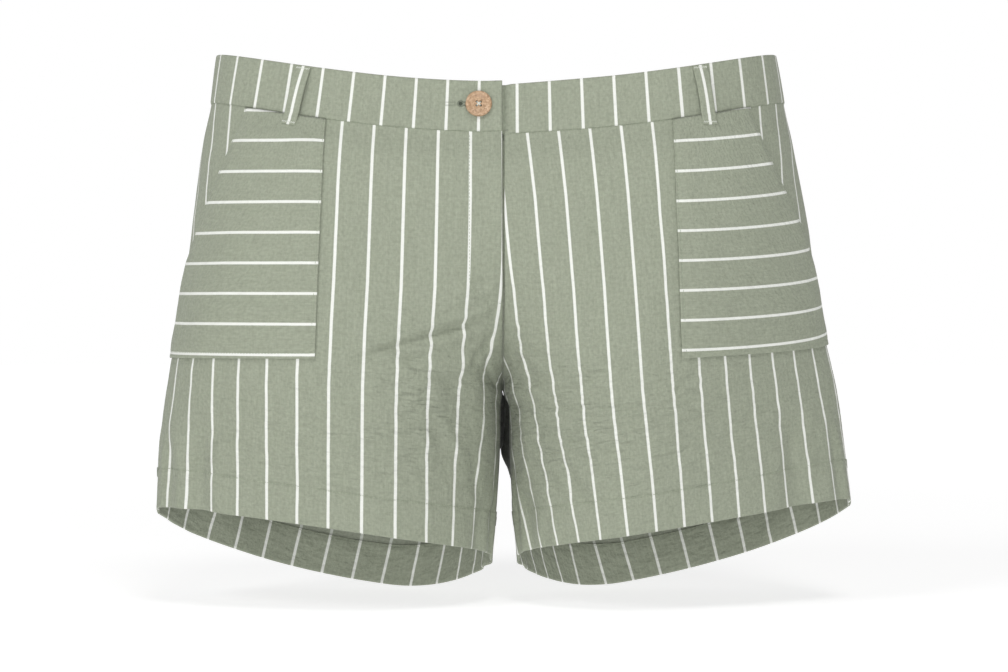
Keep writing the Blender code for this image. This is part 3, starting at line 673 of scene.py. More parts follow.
def thin_cloth(name, points, uv, flip, materials):
    """Cloth of one layer: the points are its face, and its thickness goes in."""
    index = np.arange(points[..., 0].size).reshape(points.shape[:2])
    made = new_object(name, points.reshape(-1, 3), quads(index, flip), uv.reshape(-1, 2), materials)
    thick = made.modifiers.new("thickness", "SOLIDIFY")
    thick.thickness = CLOTH
    thick.offset = -1
    thick.material_offset = 1
    thick.material_offset_rim = 0
    return made


def folded_cloth(name, outer, inner, uv, flip):
    """A closed strip of folded cloth: both grids share their rim."""
    upper = np.arange(outer[..., 0].size).reshape(outer.shape[:2])
    lower = upper + upper.size
    lower[0], lower[-1], lower[:, 0], lower[:, -1] = upper[0], upper[-1], upper[:, 0], upper[:, -1]
    both = np.concatenate([quads(upper, flip), quads(lower, not flip)])
    used, faces = np.unique(both, return_inverse=True)
    vertices = np.concatenate([outer.reshape(-1, 3), inner.reshape(-1, 3)])[used]
    uv = np.concatenate([uv.reshape(-1, 2)] * 2)[used]
    return dress(new_object(name, vertices, faces.reshape(-1, 4), uv, (FACE,)), name)


def rounded(distance, radius):
    """1 away from an edge, falling to 0 on it in a quarter circle."""
    return np.sqrt(np.clip(1 - (1 - np.clip(distance / radius, 0, 1)) ** 2, 0, 1))


def strip_offsets(distance, outer, inner, radius):
    """Offsets of the two faces of a folded strip whose edges are rounded."""
    middle, half = (outer + inner) / 2, (outer - inner) / 2
    shape = half * rounded(distance, radius)
    return middle + shape, middle - shape


def steps(first, last, count, edge_first=0.0, edge_last=0.0):
    """Evenly spaced numbers from first to last, with four more close to an end that is rounded."""
    values = list(np.linspace(first, last, count))
    direction = 1 if last > first else -1
    for share in (0.12, 0.45, 1.0, 1.8):
        if edge_first:
            values.append(first + direction * share * edge_first)
        if edge_last:
            values.append(last - direction * share * edge_last)
    return np.array(sorted(set(np.round(values, 7)), reverse=direction < 0))


def rows_like(level, grid):
    """The level of each row at all the columns of a grid."""
    return level[:, None] + 0 * grid


def gathered_length(points):
    """Distance run along each row of a grid of points."""
    gaps = np.linalg.norm(np.diff(points, axis=1), axis=-1)
    return np.concatenate([np.zeros((len(points), 1)), np.cumsum(gaps, axis=1)], axis=1)


# --- finishes -------------------------------------------------------------------------------------

class Finish:
    """A material, with short ways to add nodes. A socket's value may be another node's output."""

    def __init__(self, name, sockets):
        self.material = bpy.data.materials.new(name)
        self.material.use_nodes = True
        self.tree = self.material.node_tree
        self.set(sockets)

    def set(self, sockets, node=None):
        """Fills the sockets of a node, or else of the shader."""
        node = node or self.tree.nodes["Principled BSDF"]
        for key, value in sockets.items():
            if isinstance(value, bpy.types.NodeSocket):
                self.tree.links.new(value, node.inputs[key])
            else:
                node.inputs[key].default_value = value

    def node(self, kind, sockets, **settings):
        fresh = self.tree.nodes.new("ShaderNode" + kind)
        for key, value in settings.items():
            setattr(fresh, key, value)
        self.set(sockets, fresh)
        return fresh

    def math(self, operation, *values):
        return self.node("Math", dict(enumerate(values)), operation=operation).outputs[0]

    def add(self, a, b):
        return self.math("ADD", a, b)

    def times(self, a, b):
        return self.math("MULTIPLY", a, b)

    def less(self, a, b):
        return self.math("SUBTRACT", a, b)

    def mix(self, share, a, b):
        node = self.node("Mix", {"Factor": share, "A": a, "B": b}, data_type="RGBA")
        return node.outputs["Result"]

    def noise(self, sockets):
        return self.node("TexNoise", sockets).outputs["Fac"]

    def object_noise(self, sockets):
        return self.noise({"Vector": self.node("TexCoord", {}).outputs["Object"], **sockets})

    def between(self, value, low, high, **settings):
        """0 where the value is low, rising to 1 where it is high."""
        sockets = {"Value": value, "From Min": low, "From Max": high}
        return self.node("MapRange", sockets, **settings).outputs[0]

    def bump(self, height, strength, distance, **under):
        sockets = {"Height": height, "Strength": strength, "Distance": distance, **under}
        return self.node("Bump", sockets).outputs[0]

    def ramp(self, value, *stops):
        """A colour for each value, from stops of place and colour."""
        node = self.node("ValToRGB", {"Fac": value})
        elements = node.color_ramp.elements
        for element, (place, colour) in zip(elements, (stops[0], stops[-1])):
            element.position, element.color = place, colour
        for place, colour in stops[1:-1]:
            elements.new(place).color = colour
        return node.outputs["Color"]


def tinted(colour, *factors):
    return (*(min(1, c * f) for c, f in zip(colour, factors)), 1)


def cotton(name, ground, dark, stripe, stripe_strength):
    """Yarn-dyed cotton: fine warp and weft of uneven tone, with a raised pale stripe, and painted
    shade where the cloth lies behind the fork.
    """
    sheen = {"Sheen Weight": 0.12, "Sheen Roughness": 0.45}
    finish = Finish(name, {"Roughness": 0.88, "Specular IOR Level": 0.25, **sheen})
    add, times, less, mix = finish.add, finish.times, finish.less, finish.mix
    place = finish.node("UVMap", {}, uv_map="cloth").outputs["UV"]
    across, along, _ = finish.node("SeparateXYZ", {0: place}).outputs

    def noise(wide, high, detail=2.0):
        """Noise with so many features for a stripe's distance across and along the cloth."""
        mapped = finish.node("Mapping", {"Vector": place, "Scale": (wide, high, 1.0)}).outputs[0]
        return finish.noise({"Vector": mapped, "Scale": 1.0, "Detail": detail})

    def attribute(name):
        return finish.node("Attribute", {}, attribute_name=name).outputs["Fac"]

    warp, weft, slub = noise(55.0, 2.2), noise(2.0, 50.0), noise(9.0, 0.7, 1.0)
    yarns = add(add(times(warp, 0.42), times(weft, 0.34)), times(slub, 0.24))
    tone = mix(finish.between(yarns, 0.40, 0.60), dark, ground)
    tone = mix(times(noise(1.6, 1.3, 3.0), 0.22), tone, tinted(ground, 1.06, 1.0, 1.12))
    flecks = times(less(noise(11.0, 9.0, 3.0), 0.38), MOTTLE)
    tone = mix(flecks, tone, tinted(ground, 0.45, 0.45, 0.45))

    wavering = add(add(across, times(less(weft, 0.5), 0.020)), 0.5)
    away = finish.math("ABSOLUTE", less(finish.math("FRACT", wavering), 0.5))
    reach = [STRIPE_SHARE / 2 + soft for soft in (0.007, -0.007)]
    striped = finish.between(away, *reach, interpolation_type="SMOOTHSTEP")
    tone = mix(times(striped, stripe_strength), tone, stripe)
    # Painted shade: behind the fork the colour is drawn towards near black, standing in for the
    # shadow between the legs.
    tone = mix(times(attribute("painted_shade_between_legs"), 0.85), tone, PAINTED_SHADE_BETWEEN)

    warp_wave, weft_wave = (
        finish.math("SINE", times(way, 2 * pi * count))
        for way, count in ((across, WARP_COUNT), (along, WEFT_COUNT))
    )
    threads = times(times(warp_wave, weft_wave), 0.5)
    height = add(add(threads, times(yarns, 2.2)), times(striped, 0.7))
    weave = finish.bump(height, 0.35, 0.00012)
    crinkled = add(noise(3.4, 5.2, 3.0), times(noise(9.0, 4.0), 0.5))
    crinkle = finish.bump(crinkled, 1.0, CRINKLE, Normal=weave)
    waves = add(noise(0.9, 3.1), times(noise(2.2, 4.4), 0.5))
    rumple = finish.bump(times(waves, attribute("creased")), 1.0, RUMPLE, Normal=crinkle)
    finish.set({"Base Color": tone, "Normal": rumple})
    return finish.material


def plain(name, colour, roughness, speckle=0.0, scale=400.0):
    """A plain finish with fine mottling."""
    finish = Finish(name, {"Roughness": roughness})
    grain = finish.object_noise({"Scale": scale, "Detail": 4.0})
    dark, pale = (tinted(colour, *[1 + change] * 3) for change in (-speckle, speckle))
    finish.set({"Base Color": finish.ramp(grain, (0.35, dark), (0.65, pale))})
    return finish


def corozo():
    """Warm tan with pale and dark flecks."""
    finish = Finish("corozo", {"Roughness": 0.42})
    grain = finish.object_noise({"Scale": 620.0, "Detail": 5.0, "Distortion": 0.8})
    dark, middle, pale = (0.27, 0.165, 0.092, 1), (0.43, 0.28, 0.165, 1), (0.60, 0.43, 0.29, 1)
    colour = finish.ramp(grain, (0.30, dark), (0.50, middle), (0.72, pale))
    finish.set({"Base Color": colour, "Normal": finish.bump(grain, 0.25, 0.0001)})
    return finish.material


# The cloth's ground, its darker yarns and its stripe, on its right side and on its wrong side.
SAGE, SAGE_DARK, STRIPE = (0.322, 0.352, 0.268, 1), (0.272, 0.300, 0.226, 1), (0.76, 0.77, 0.73, 1)
WRONG, WRONG_DARK, WRONG_STRIPE = (
    (0.332, 0.358, 0.282, 1), (0.285, 0.310, 0.242, 1), (0.68, 0.70, 0.65, 1),
)
FACE = cotton("cotton_face", SAGE, SAGE_DARK, STRIPE, 0.97)
INSIDE = cotton("cotton_inside", WRONG, WRONG_DARK, WRONG_STRIPE, 0.78)
THREAD_SAGE = plain("thread_sage", (0.30, 0.34, 0.25, 1), 0.7, 0.15, 900.0).material
THREAD_DARK = plain("thread_dark", (0.19, 0.21, 0.16, 1), 0.7, 0.15, 900.0).material
THREAD_PALE = plain("thread_pale", (0.62, 0.64, 0.58, 1), 0.7, 0.10, 900.0).material


# --- fronts and backs -----------------------------------------------------------------------------

def edge_path(allowance):
    """Places across a turned-in edge, from the raw end inside to the face: distance in, offset."""
    inside = [(allowance * share, -0.0013) for share in (1, 0.6, 0.2)]
    bend = [(0.0016, -0.0012), (0.0006, -0.0010), (0.0001, -0.0006), (0.0004, -0.0002)]
    return inside + bend + [(0.0012, 0.0), (0.0026, 0.0)]


def panel_rows():
    """level, offset and facing of each row: down the face, round the hem and up inside it."""
    levels = [BAND_SEAM + 0.003, BAND_SEAM + 0.0005, TOP_OF_PANELS, TOP_OF_PANELS - 0.001]
    levels += [*np.linspace(TOP_OF_PANELS - 0.002, HEM_STITCH + 0.004, 124)]
    for step in (22, 14, 9, 5, 0, -5, -9, -14, -22):
        levels.append(HEM_STITCH + step / 10000)
    levels += [*np.linspace(HEM_STITCH - 0.004, HEM_BEND, 14)]
    rows = [(level, 0.0, 1.0) for level in levels]
    for turn in (8, 35, 62, 90, 118, 145, 172):
        t = radians(turn)
        rows.append((HEM + HEM_RADIUS * (1 - sin(t)), HEM_RADIUS * (cos(t) - 1), cos(t)))
    levels = [*np.linspace(HEM_BEND, HEM_STITCH - 0.003, 11), HEM_STITCH - 0.0012]
    levels += [HEM_STITCH - 0.0005, HEM_STITCH, HEM_STITCH + 0.0005, HEM_FOLD - 0.0004]
    rows += [(level, HEM_INSIDE, -1.0) for level in levels]
    for rise, lift in ((0.0001, 0.0003), (-0.0003, 0.0007), (-0.006, 0.0007)):
        rows.append((HEM_FOLD + rise, HEM_INSIDE + lift, -1.0))
    return np.array(rows).T


def panel_columns(level, side, back):
    """Places of all columns on each row, and how far they lie in at the turned-in edges."""
    start = np.zeros(len(level))
    if side == LEFT and not back:
        opening = np.interp(-level, (-FLY_END, -FLY_CLOSED), (FLY_GAP, SEAM_GAP / 2))
        start = np.maximum(start, along_at(opening, level, side))
    (inner_allowance, inner_run), (side_allowance, side_run) = PANEL_EDGES
    inner_edge, side_edge = edge_path(inner_allowance), edge_path(side_allowance)[::-1]
    columns = [start + distance / inner_run for distance, _ in inner_edge]
    closing = [1 - distance / side_run + 0 * start for distance, _ in side_edge]
    for first, last, count in ((columns[-1], 0.5, 66), (0.5, closing[0], 84)):
        for share in np.linspace(0, 1, count + 1)[1:]:
            columns.append(first * (1 - share) + last * share + 0 * start)
    columns += closing[1:]
    turned = np.zeros(len(columns))
    turned[:EDGE_COLUMNS] = [offset for _, offset in inner_edge]
    turned[-EDGE_COLUMNS:] = [offset for _, offset in side_edge]
    return np.array(columns).T, turned


def hem_pucker(along, level, side, back):
    """The stitching draws the hem in along its line, and unevenly on both sides of it."""
    wave = uneven(along * ROW_LENGTH, level * 0.3, seed_for(31, side, back), 0.0068)
    off = level - HEM_STITCH
    return 0.00038 * hump(off, 0.0011) + 0.00042 * hump(off, 0.0065) * (wave + 0.3)


def panel_uv(smooth, level, offset, side, back):
    """The stripes' own measures: across them from the one at the table's place, and down them."""
    run = gathered_length(smooth)
    levels, *columns = np.array(STRIPES[side, back]).T
    place, near, far, inmost = (np.interp(-level, -levels, column) for column in columns)
    body = slice(EDGE_COLUMNS, -EDGE_COLUMNS)
    x = np.abs(smooth[:, body, 0])
    starts = [np.interp(place[r], x[r], run[r, body]) for r in range(len(level))]
    away = run - np.array(starts)[:, None]
    u = away / np.where(away < 0, near[:, None], far[:, None])
    u = np.where(u < -INNERMOST, (u + INNERMOST) * (near / inmost)[:, None] - INNERMOST, u)
    down = np.concatenate([[0], np.cumsum(np.hypot(np.diff(level), np.diff(offset)))])
    return np.stack([u, rows_like(down, u) / near.mean()], -1)


def panel(side, back):
    name = FACES[back] + "_" + WORDS[side]
    level, offset, facing = panel_rows()
    along, turned = panel_columns(level, side, back)
    grid = rows_like(level, along)
    offsets = offset[:, None] + (turned - hem_pucker(along, grid, side, back)) * facing[:, None]
    points, normals = with_normals(along, grid, side, back)
    uv = panel_uv(points + normals * offsets[..., None], level, offset, side, back)
    points = moved(along, grid, side, back, offsets)
    made = thin_cloth(name, points, uv, (side == LEFT) != back, (FACE, INSIDE))
    marks = (
        ("creased", creased(along, grid, side, back)),
        ("painted_shade_between_legs", painted_shade_between_legs(along, grid, back)),
    )
    for mark, values in marks:
        made.data.attributes.new(mark, "FLOAT", "POINT").data.foreach_set("value", values.ravel())
    return dress(made, name)


def seam_allowances():
    """The turned-in cloth behind each seam: one narrow strip that closes the seam from inside."""
    at_inner, at_side = np.linspace(0.036, 0.0008, 8), np.linspace(0.962, 0.9994, 8)
    fly = np.linspace(FLY_END + 0.004, CROTCH + 0.0004, 50)
    seat = np.linspace(ALLOWANCE_TOP, CROTCH + 0.0004, 90)
    whole = np.linspace(ALLOWANCE_TOP, HEM_FOLD + 0.001, 110)
    below = np.linspace(CROTCH - 0.0010, HEM_FOLD + 0.001, 40)
    runs = [
        ("centre_front", fly, at_inner, (RIGHT, False), (LEFT, False), False),
        ("centre_back", seat, at_inner, (RIGHT, True), (LEFT, True), True),
    ]
    for side, word in WORDS.items():
        front, behind = (side, False), (side, True)
        runs.append(("side_" + word, whole, at_side, front, behind, side == RIGHT))
        runs.append(("inside_leg_" + word, below, at_inner, front, behind, side == LEFT))
    for name, levels, places, one, other, flip in runs:
        level = rows_like(levels, places)
        along = places + 0 * level
        first, second = (moved(along, level, *half, ALLOWANCE_DEPTH) for half in (one, other))
        points = np.concatenate([first, second[:, ::-1]], axis=1)
        run = gathered_length(points)
        uv = np.stack([run, -rows_like(levels, run)], -1) / PLAIN_PITCH
        dress(thin_cloth("allowance_" + name, points, uv, flip, (INSIDE, INSIDE)))


# --- waistband, pockets, loops --------------------------------------------------------------------

BAND_ROWS = steps(BAND_TOP, BAND_SEAM, 22, 0.0011, 0.0007)


def band_faces(along, side, back, from_end, shift=0.0):
    """Both faces of a stretch of the band, which swells a little between its edges."""
    level = rows_like(BAND_ROWS, along)
    edges = np.minimum(BAND_TOP - level, level - BAND_SEAM)
    distance = np.minimum(edges, from_end)
    offsets = strip_offsets(distance, BAND_PROUD, BAND_PROUD - BAND_WALL, 0.0010)
    rise = np.clip((level - BAND_SEAM) / (BAND_TOP - BAND_SEAM), 0, 1)
    swell = 0.0004 * np.sin(pi * rise) ** 0.6
    return [moved(along, level, side, back, offset + swell + shift) for offset in offsets]


def band_uv(points, side):
    run = gathered_length(points)
    place, pitch, far_pitch, spread = BAND_STRIPES[side]
    u = np.empty_like(run)
    for r in range(len(run)):
        order = np.argsort(points[r, :, 0] * side)
        x, distance = points[r, order, 0] * side, run[r, order]
        wide = 1 + spread * ((BAND_TOP - BAND_ROWS[r]) / (BAND_TOP - BAND_SEAM) - 0.5)
        turn = np.interp(BAND_TURN[side], x, distance)
        near = np.minimum(run[r], turn) - np.interp(place * wide, x, distance)
        u[r] = (near / pitch + np.maximum(run[r] - turn, 0) / far_pitch) / wide
    return np.stack([u, -rows_like(BAND_ROWS, u) / pitch], -1)


def to_side_seam(count):
    """Places from the crest to the side seam, without the crest itself."""
    return steps(0.5, EDGE_SIDE, count, 0, 0.0035)[1:]


def waistband_right():
    along = np.concatenate([steps(0.0, 0.5, 70, 0.0045), to_side_seam(90)]) + 0 * BAND_ROWS[:, None]
    ends = np.minimum(along * CENTRE_RUN, (EDGE_SIDE - along) * SIDE_RUN)
    face, inside = band_faces(along, RIGHT, False, ends)
    return folded_cloth("waistband_right", face, inside, band_uv(face, RIGHT), False)


def waistband_left():
    """The band under the lap: it steps in by a layer and runs on behind it."""
    across_rows = 0 * BAND_ROWS[:, None]
    under_x = steps(UNDERLAP_END, 0.0004, 22, 0.0011)
    under = np.array([along_at(x, BAND_ROWS, RIGHT) for x in under_x]).T
    start = along_at(UNDERLAP_STEP, BAND_ROWS, LEFT)[:, None]
    step = start * np.linspace(0.02, 1, 9)
    rest = start + (0.5 - start) * np.linspace(0, 1, 64)[1:]
    rest = np.concatenate([rest, to_side_seam(90) + across_rows], axis=1)
    layer_in = -BAND_WALL - LAYER_GAP
    stepping_in = layer_in * (1 - smoothstep(np.linspace(0, 1, 9)))
    laps = band_faces(under, RIGHT, False, UNDERLAP_END - under_x + across_rows, layer_in)
    joggles = band_faces(step, LEFT, False, 1.0, stepping_in)
    fronts = band_faces(rest, LEFT, False, (EDGE_SIDE - rest) * SIDE_RUN)
    high = np.clip((BAND_ROWS - SAG_END) / (BAND_TOP - SAG_END), 0, 1)
    down = np.array([0, 0, -CLOSURE_SAG]) * high[:, None, None]
    face, inside = (
        np.concatenate([hidden + down, bent, front], axis=1)
        for hidden, bent, front in zip(laps, joggles, fronts)
    )
    return folded_cloth("waistband_left", face, inside, band_uv(face, LEFT), True)


def waistband_back():
    half = np.concatenate([steps(0.0, 0.5, 60), to_side_seam(84)]) + 0 * BAND_ROWS[:, None]
    ends = (EDGE_SIDE - half) * SIDE_RUN
    both = zip(*(band_faces(half, side, True, ends) for side in (RIGHT, LEFT)))
    face, inside = (np.concatenate([right[:, :0:-1], left], axis=1) for right, left in both)
    run = gathered_length(face)
    pitch = BAND_STRIPES[RIGHT][1]
    u = (run - run[:, run.shape[1] // 2][:, None]) / pitch + 0.5
    uv = np.stack([u, -rows_like(BAND_ROWS, u) / pitch], -1)
    return folded_cloth("waistband_back", face, inside, uv, False)


def fly_shield():
    level = np.linspace(TOP_OF_PANELS - CLOSURE_SAG, FLY_END, 44)
    low = np.clip((FLY_END + SHIELD_ROUND - level) / SHIELD_ROUND, 0, 1)
    width = SHIELD_WIDTH - (SHIELD_WIDTH - SHIELD_INNER) * (1 - np.sqrt(1 - low**2))
    parts = (
        (RIGHT, [along_at(width * share, level, RIGHT) for share in np.linspace(1, 0, 14)]),
        (LEFT, [along_at(x, level, LEFT) for x in (0, 0.003, 0.006, SHIELD_INNER)]),
    )
    faces = []
    for depth in (SHIELD_DEPTH, SHIELD_DEPTH - SHIELD_WALL):
        places = [(side, np.array(columns).T) for side, columns in parts]
        halves = [moved(at, rows_like(level, at), side, False, depth) for side, at in places]
        faces.append(np.concatenate(halves, axis=1))
    run = gathered_length(faces[0])
    uv = np.stack([run / PLAIN_PITCH + 0.3, -rows_like(level, run) / PLAIN_PITCH], -1)
    return folded_cloth("fly_shield", *faces, uv, False)


def opening_place(level):
    down = np.clip((TOP_OF_PANELS - level) / (TOP_OF_PANELS - OPENING_END), 0, 1)
    return np.minimum(OPENING_START + (1 - OPENING_START) * down**OPENING_CURVE, EDGE_SIDE)


def pocket_inner_place(level, side):
    shape = POCKETS[side]
    x = np.interp(-level, (-TOP_OF_PANELS, -shape["foot"]), (shape["top"], shape["bottom"]))
    return along_beyond(x, level, side)


def pocket_grid(share, down, side):
    """Place along the row and level of a point of a pocket, by its share across and down it."""
    shape = POCKETS[side]
    inner = pocket_inner_place(shape["foot"], side)
    foot_place = inner * (1 - share) + EDGE_SIDE * share
    foot_level = level_for(shape["foot"] + shape["foot_rise"] * share, foot_place, side)
    level = TOP_OF_PANELS * (1 - down) + foot_level * down
    place = pocket_inner_place(level, side) * (1 - share) + opening_place(level) * share
    return place, level


def pocket_edges(share, down):
    """Distances to a pocket's inner edge, foot and opening."""
    return share * POCKET_WIDE, (1 - down) * POCKET_DEEP, (1 - share) * POCKET_SLANT


def pocket_swell(share, down, side):
    """A patch lies a little proud between its stitched edges, and hollows along the stitching."""
    inner_edge, foot, opening = pocket_edges(share, down)
    body = smoothstep(inner_edge / 0.014) * smoothstep(foot / 0.014) * smoothstep(opening / 0.010)
    hills = uneven(inner_edge, down * POCKET_DEEP, POCKET_SEEDS[side], 0.030)
    swell = 0.0009 * body + 0.0005 * body * hills
    swell = swell - 0.00022 * hump(inner_edge - 0.0019, 0.0007)
    swell = swell - 0.00022 * hump(foot - 0.0042, 0.0007)
    return swell - 0.00018 * hump(opening - 0.0022, 0.0008)


def pocket(side):
    name = "pocket_" + WORDS[side]
    share = sorted({*steps(0, 1, 74, 0.0062, 0.0062), 0.012, 0.016, 0.020, 0.982, 0.987})
    down = sorted({*steps(0, 1, 92, 0.0, 0.0042), 0.970, 0.974, 0.977, 0.980, 0.984})
    share, down = np.meshgrid(share, down)
    place, level = pocket_grid(share, down, side)
    distance = np.minimum.reduce(pocket_edges(share, down))
    outer, inner = strip_offsets(distance, POCKET_GAP + POCKET_WALL, POCKET_GAP, 0.0007)
    swell = pocket_swell(share, down, side)
    face = moved(place, level, side, False, outer + swell)
    back = moved(place, level, side, False, inner + swell * 0.8)
    start, pitch, rise_top, rise_foot = POCKET_STRIPES[side]
    rise = (rise_top + (rise_foot - rise_top) * down**0.75) * share**1.4
    u = (body_surface(place, level, side, False)[..., 2] - start - rise) / pitch
    uv = np.stack([u, share * POCKET_WIDE / pitch], -1)
    return folded_cloth(name, face, back, uv, side == LEFT)


def loop_frame(name, share):
    """Middle line of a belt loop, with the directions out and sideways, and its offsets."""
    top_place, foot_place, side, back = LOOPS[name]
    level = LOOP_TOP + (BAND_SEAM - LOOP_TAIL - LOOP_TOP) * share
    place = top_place + (foot_place - top_place) * share
    points, normals = with_normals(place, level, side, back)
    sideways = np.cross(normals, np.gradient(points, axis=0))
    sideways = sideways / np.linalg.norm(sideways, axis=-1, keepdims=True)
    foot_rest = 0.0002 if back else POCKET_GAP + POCKET_WALL + 0.0003
    bends = (-BAND_SEAM - 0.0005, -BAND_SEAM + 0.0030)
    rest = np.interp(-level, bends, (BAND_PROUD + 0.0003, foot_rest))
    arch = np.sin(pi * np.clip((share - 0.06) / 0.84, 0, 1)) ** 0.7
    return points, normals, sideways, rest + 0.0001 + LOOP_BULGE * arch


def belt_loop(name):
    """A folded strip: it lies down at both ends and stands off the band between them."""
    share = steps(0, 1, 60, 0.006, 0.006)
    points, normals, sideways, off = loop_frame(name, share)
    width, half = steps(-LOOP_WIDTH / 2, LOOP_WIDTH / 2, 13, 0.0007, 0.0007), LOOP_WIDTH / 2
    from_end = np.minimum(share, 1 - share)[:, None] * 0.046
    distance = np.minimum(half - np.abs(width), from_end)
    outer, inner = strip_offsets(distance, LOOP_WALL - 0.0002, 0.0, 0.0007)
    crown = 0.00035 * (1 - (width / half) ** 2)
    base = points[:, None] + sideways[:, None] * width[:, None]
    face, behind = (
        base + normals[:, None] * (off[:, None] + offset)[..., None]
        for offset in (outer + crown, inner)
    )
    u = width / PLAIN_PITCH + 0 * from_end
    uv = np.stack([u, rows_like(2 * share, u)], -1)
    made = folded_cloth(name, face, behind, uv, True)
    faced_out(made.data)
    return made


# --- stitches -------------------------------------------------------------------------------------

def thread_object(name, runs, radius, finish):
    """Short rounded stitches. runs: start, end and the direction out, for each stitch."""
    vertices, faces, sides, count = [], [], 5, len(STITCH_PROFILE)
    for start, end, out in runs:
        axis = end - start
        beside = np.cross(out, axis)
        beside = beside / (np.linalg.norm(beside) + 1e-12)
        first = len(vertices)
        for t, size, lift in STITCH_PROFILE:
            centre = (start + end) / 2 + axis * t + out * lift * radius
            for turn in (2 * pi * k / sides for k in range(sides)):
                vertices.append(centre + radius * size * (beside * cos(turn) + out * sin(turn)))
        last = first + (count - 1) * sides
        faces += ring_quads(count, sides, first)
        faces += [tuple(range(first, first + sides))[::-1], tuple(range(last, last + sides))]
    return dress(new_object(name, vertices, faces, np.zeros((len(vertices), 2)), (finish,)))


def runs_on(points, normals, cover=0.74):
    """Stitches at even distances on a line of points."""
    gaps = np.linalg.norm(np.diff(points, axis=0), axis=1)
    run = np.concatenate([[0], np.cumsum(gaps)])
    count = max(1, int(run[-1] / STITCH))
    pitch = run[-1] / count

    def at(values, distance):
        return np.array([np.interp(distance, run, values[:, k]) for k in range(3)]).T

    starts = (np.arange(count) + (1 - cover) / 2) * pitch
    ends, middles = starts + cover * pitch, starts + cover * pitch / 2
    out = at(normals, middles)
    out = out / np.linalg.norm(out, axis=1, keepdims=True)
    return list(zip(at(points, starts), at(points, ends), out))


def on_cloth(along, level, side, back, offset):
    return moved(along, level, side, back, offset), with_normals(along, level, side, back)[1]


def hem_stitches(side):
    runs = []
    for back in (False, True):
        along = np.linspace(0.004, 0.996, 420)
        level = np.full(along.shape, HEM_STITCH)
        runs += runs_on(*on_cloth(along, level, side, back, -0.0003))
        points, normals = on_cloth(along, level - 0.0002, side, back, HEM_INSIDE + 0.0001)
        runs += runs_on(points, -normals)
    thread_object("hem_stitches_" + WORDS[side], runs, THREAD, THREAD_SAGE)


def pocket_stitches(side):
    runs, along = [], np.linspace(0, 1, 160)
    inner_edge, foot = (0.0158, 0.004 + 0.972 * along), (0.016 + 0.97 * along, 0.9767)
    for share, down in (inner_edge, foot, (0.983, 0.004 + 0.80 * along)):
        share, down = np.broadcast_arrays(share, down)
        offset = POCKET_GAP + POCKET_WALL + pocket_swell(share, down, side)
        runs += runs_on(*on_cloth(*pocket_grid(share, down, side), side, False, offset))
    thread_object("pocket_stitches_" + WORDS[side], runs, THREAD, THREAD_SAGE)


def fly_stitches():
    """The row of stitching that holds the fly's facing: down beside the closure, then in to it."""
    turn = np.linspace(0, pi / 2, 30)[1:]
    straight = np.linspace(TOP_OF_PANELS - 0.002, FLY_TURN, 120)
    level = np.concatenate([straight, FLY_TURN - 0.016 * np.sin(turn)])
    x = np.concatenate([np.full(straight.shape, 0.0235), 0.0235 - 0.0225 * (1 - np.cos(turn))])
    runs = runs_on(*on_cloth(along_at(x, level, RIGHT), level, RIGHT, False, -0.00005))
    thread_object("fly_stitches", runs, THREAD, THREAD_SAGE)


def band_stitches():
    runs = []
    for side, back in HALVES:
        along = np.linspace(0.004, 0.996, 300)
        level = np.full(along.shape, BAND_SEAM - 0.0001)
        runs += runs_on(*on_cloth(along, level, side, back, 0.0003), 0.62)
    thread_object("band_stitches", runs, THREAD * 0.9, THREAD_SAGE)


def loop_tacks():
    """A dense bar of pale stitches across both ends of each belt loop."""
    runs, count, reach = [], 15, 0.0007
    for name in LOOPS:
        points, normals, sideways, off = loop_frame(name, np.linspace(0, 1, 101))
        for k in TACK_PLACES:
            down = points[k + 1] - points[k - 1]
            down = down / np.linalg.norm(down) * reach
            centre = points[k] + normals[k] * (off[k] + LOOP_WALL)
            for n in range(count):
                across = (n / (count - 1) - 0.5) * (LOOP_WIDTH - 0.0016)
                half = down + sideways[k] * 0.00025 * (1 if n % 2 else -1)
                middle = centre + sideways[k] * across
                runs.append((middle - half, middle + half, normals[k]))
    thread_object("loop_tacks", runs, THREAD * 1.15, THREAD_PALE)


# --- button and buttonhole ------------------------------------------------------------------------

def at_button_height(x):
    """A point of the closure's upper layer at the button's height, and the direction out."""
    level = level_for(BUTTON_Z, along_at(-BUTTON_X, 0.0, RIGHT), RIGHT)
    point, normal = with_normals(along_at(x, level, RIGHT), level, RIGHT, False)
    return Vector(point), Vector(normal)


def circle(radius, angle, z=0.0):
    return Vector((radius * cos(angle), radius * sin(angle), z))


def drill(disc, place):
    """Cuts one hole into the button's disc."""
    cone = bmesh.new()
    bmesh.ops.create_cone(
        cone, cap_ends=True, segments=24, radius1=BUTTON_HOLE, radius2=BUTTON_HOLE * 1.15,
        depth=0.008, matrix=Matrix.Translation(place),
    )
    mesh = bpy.data.meshes.new("drill")
    cone.to_mesh(mesh)
    cone.free()
    cut = disc.modifiers.new("hole", "BOOLEAN")
    cut.operation, cut.object = "DIFFERENCE", linked("drill", mesh)
    return cut.object


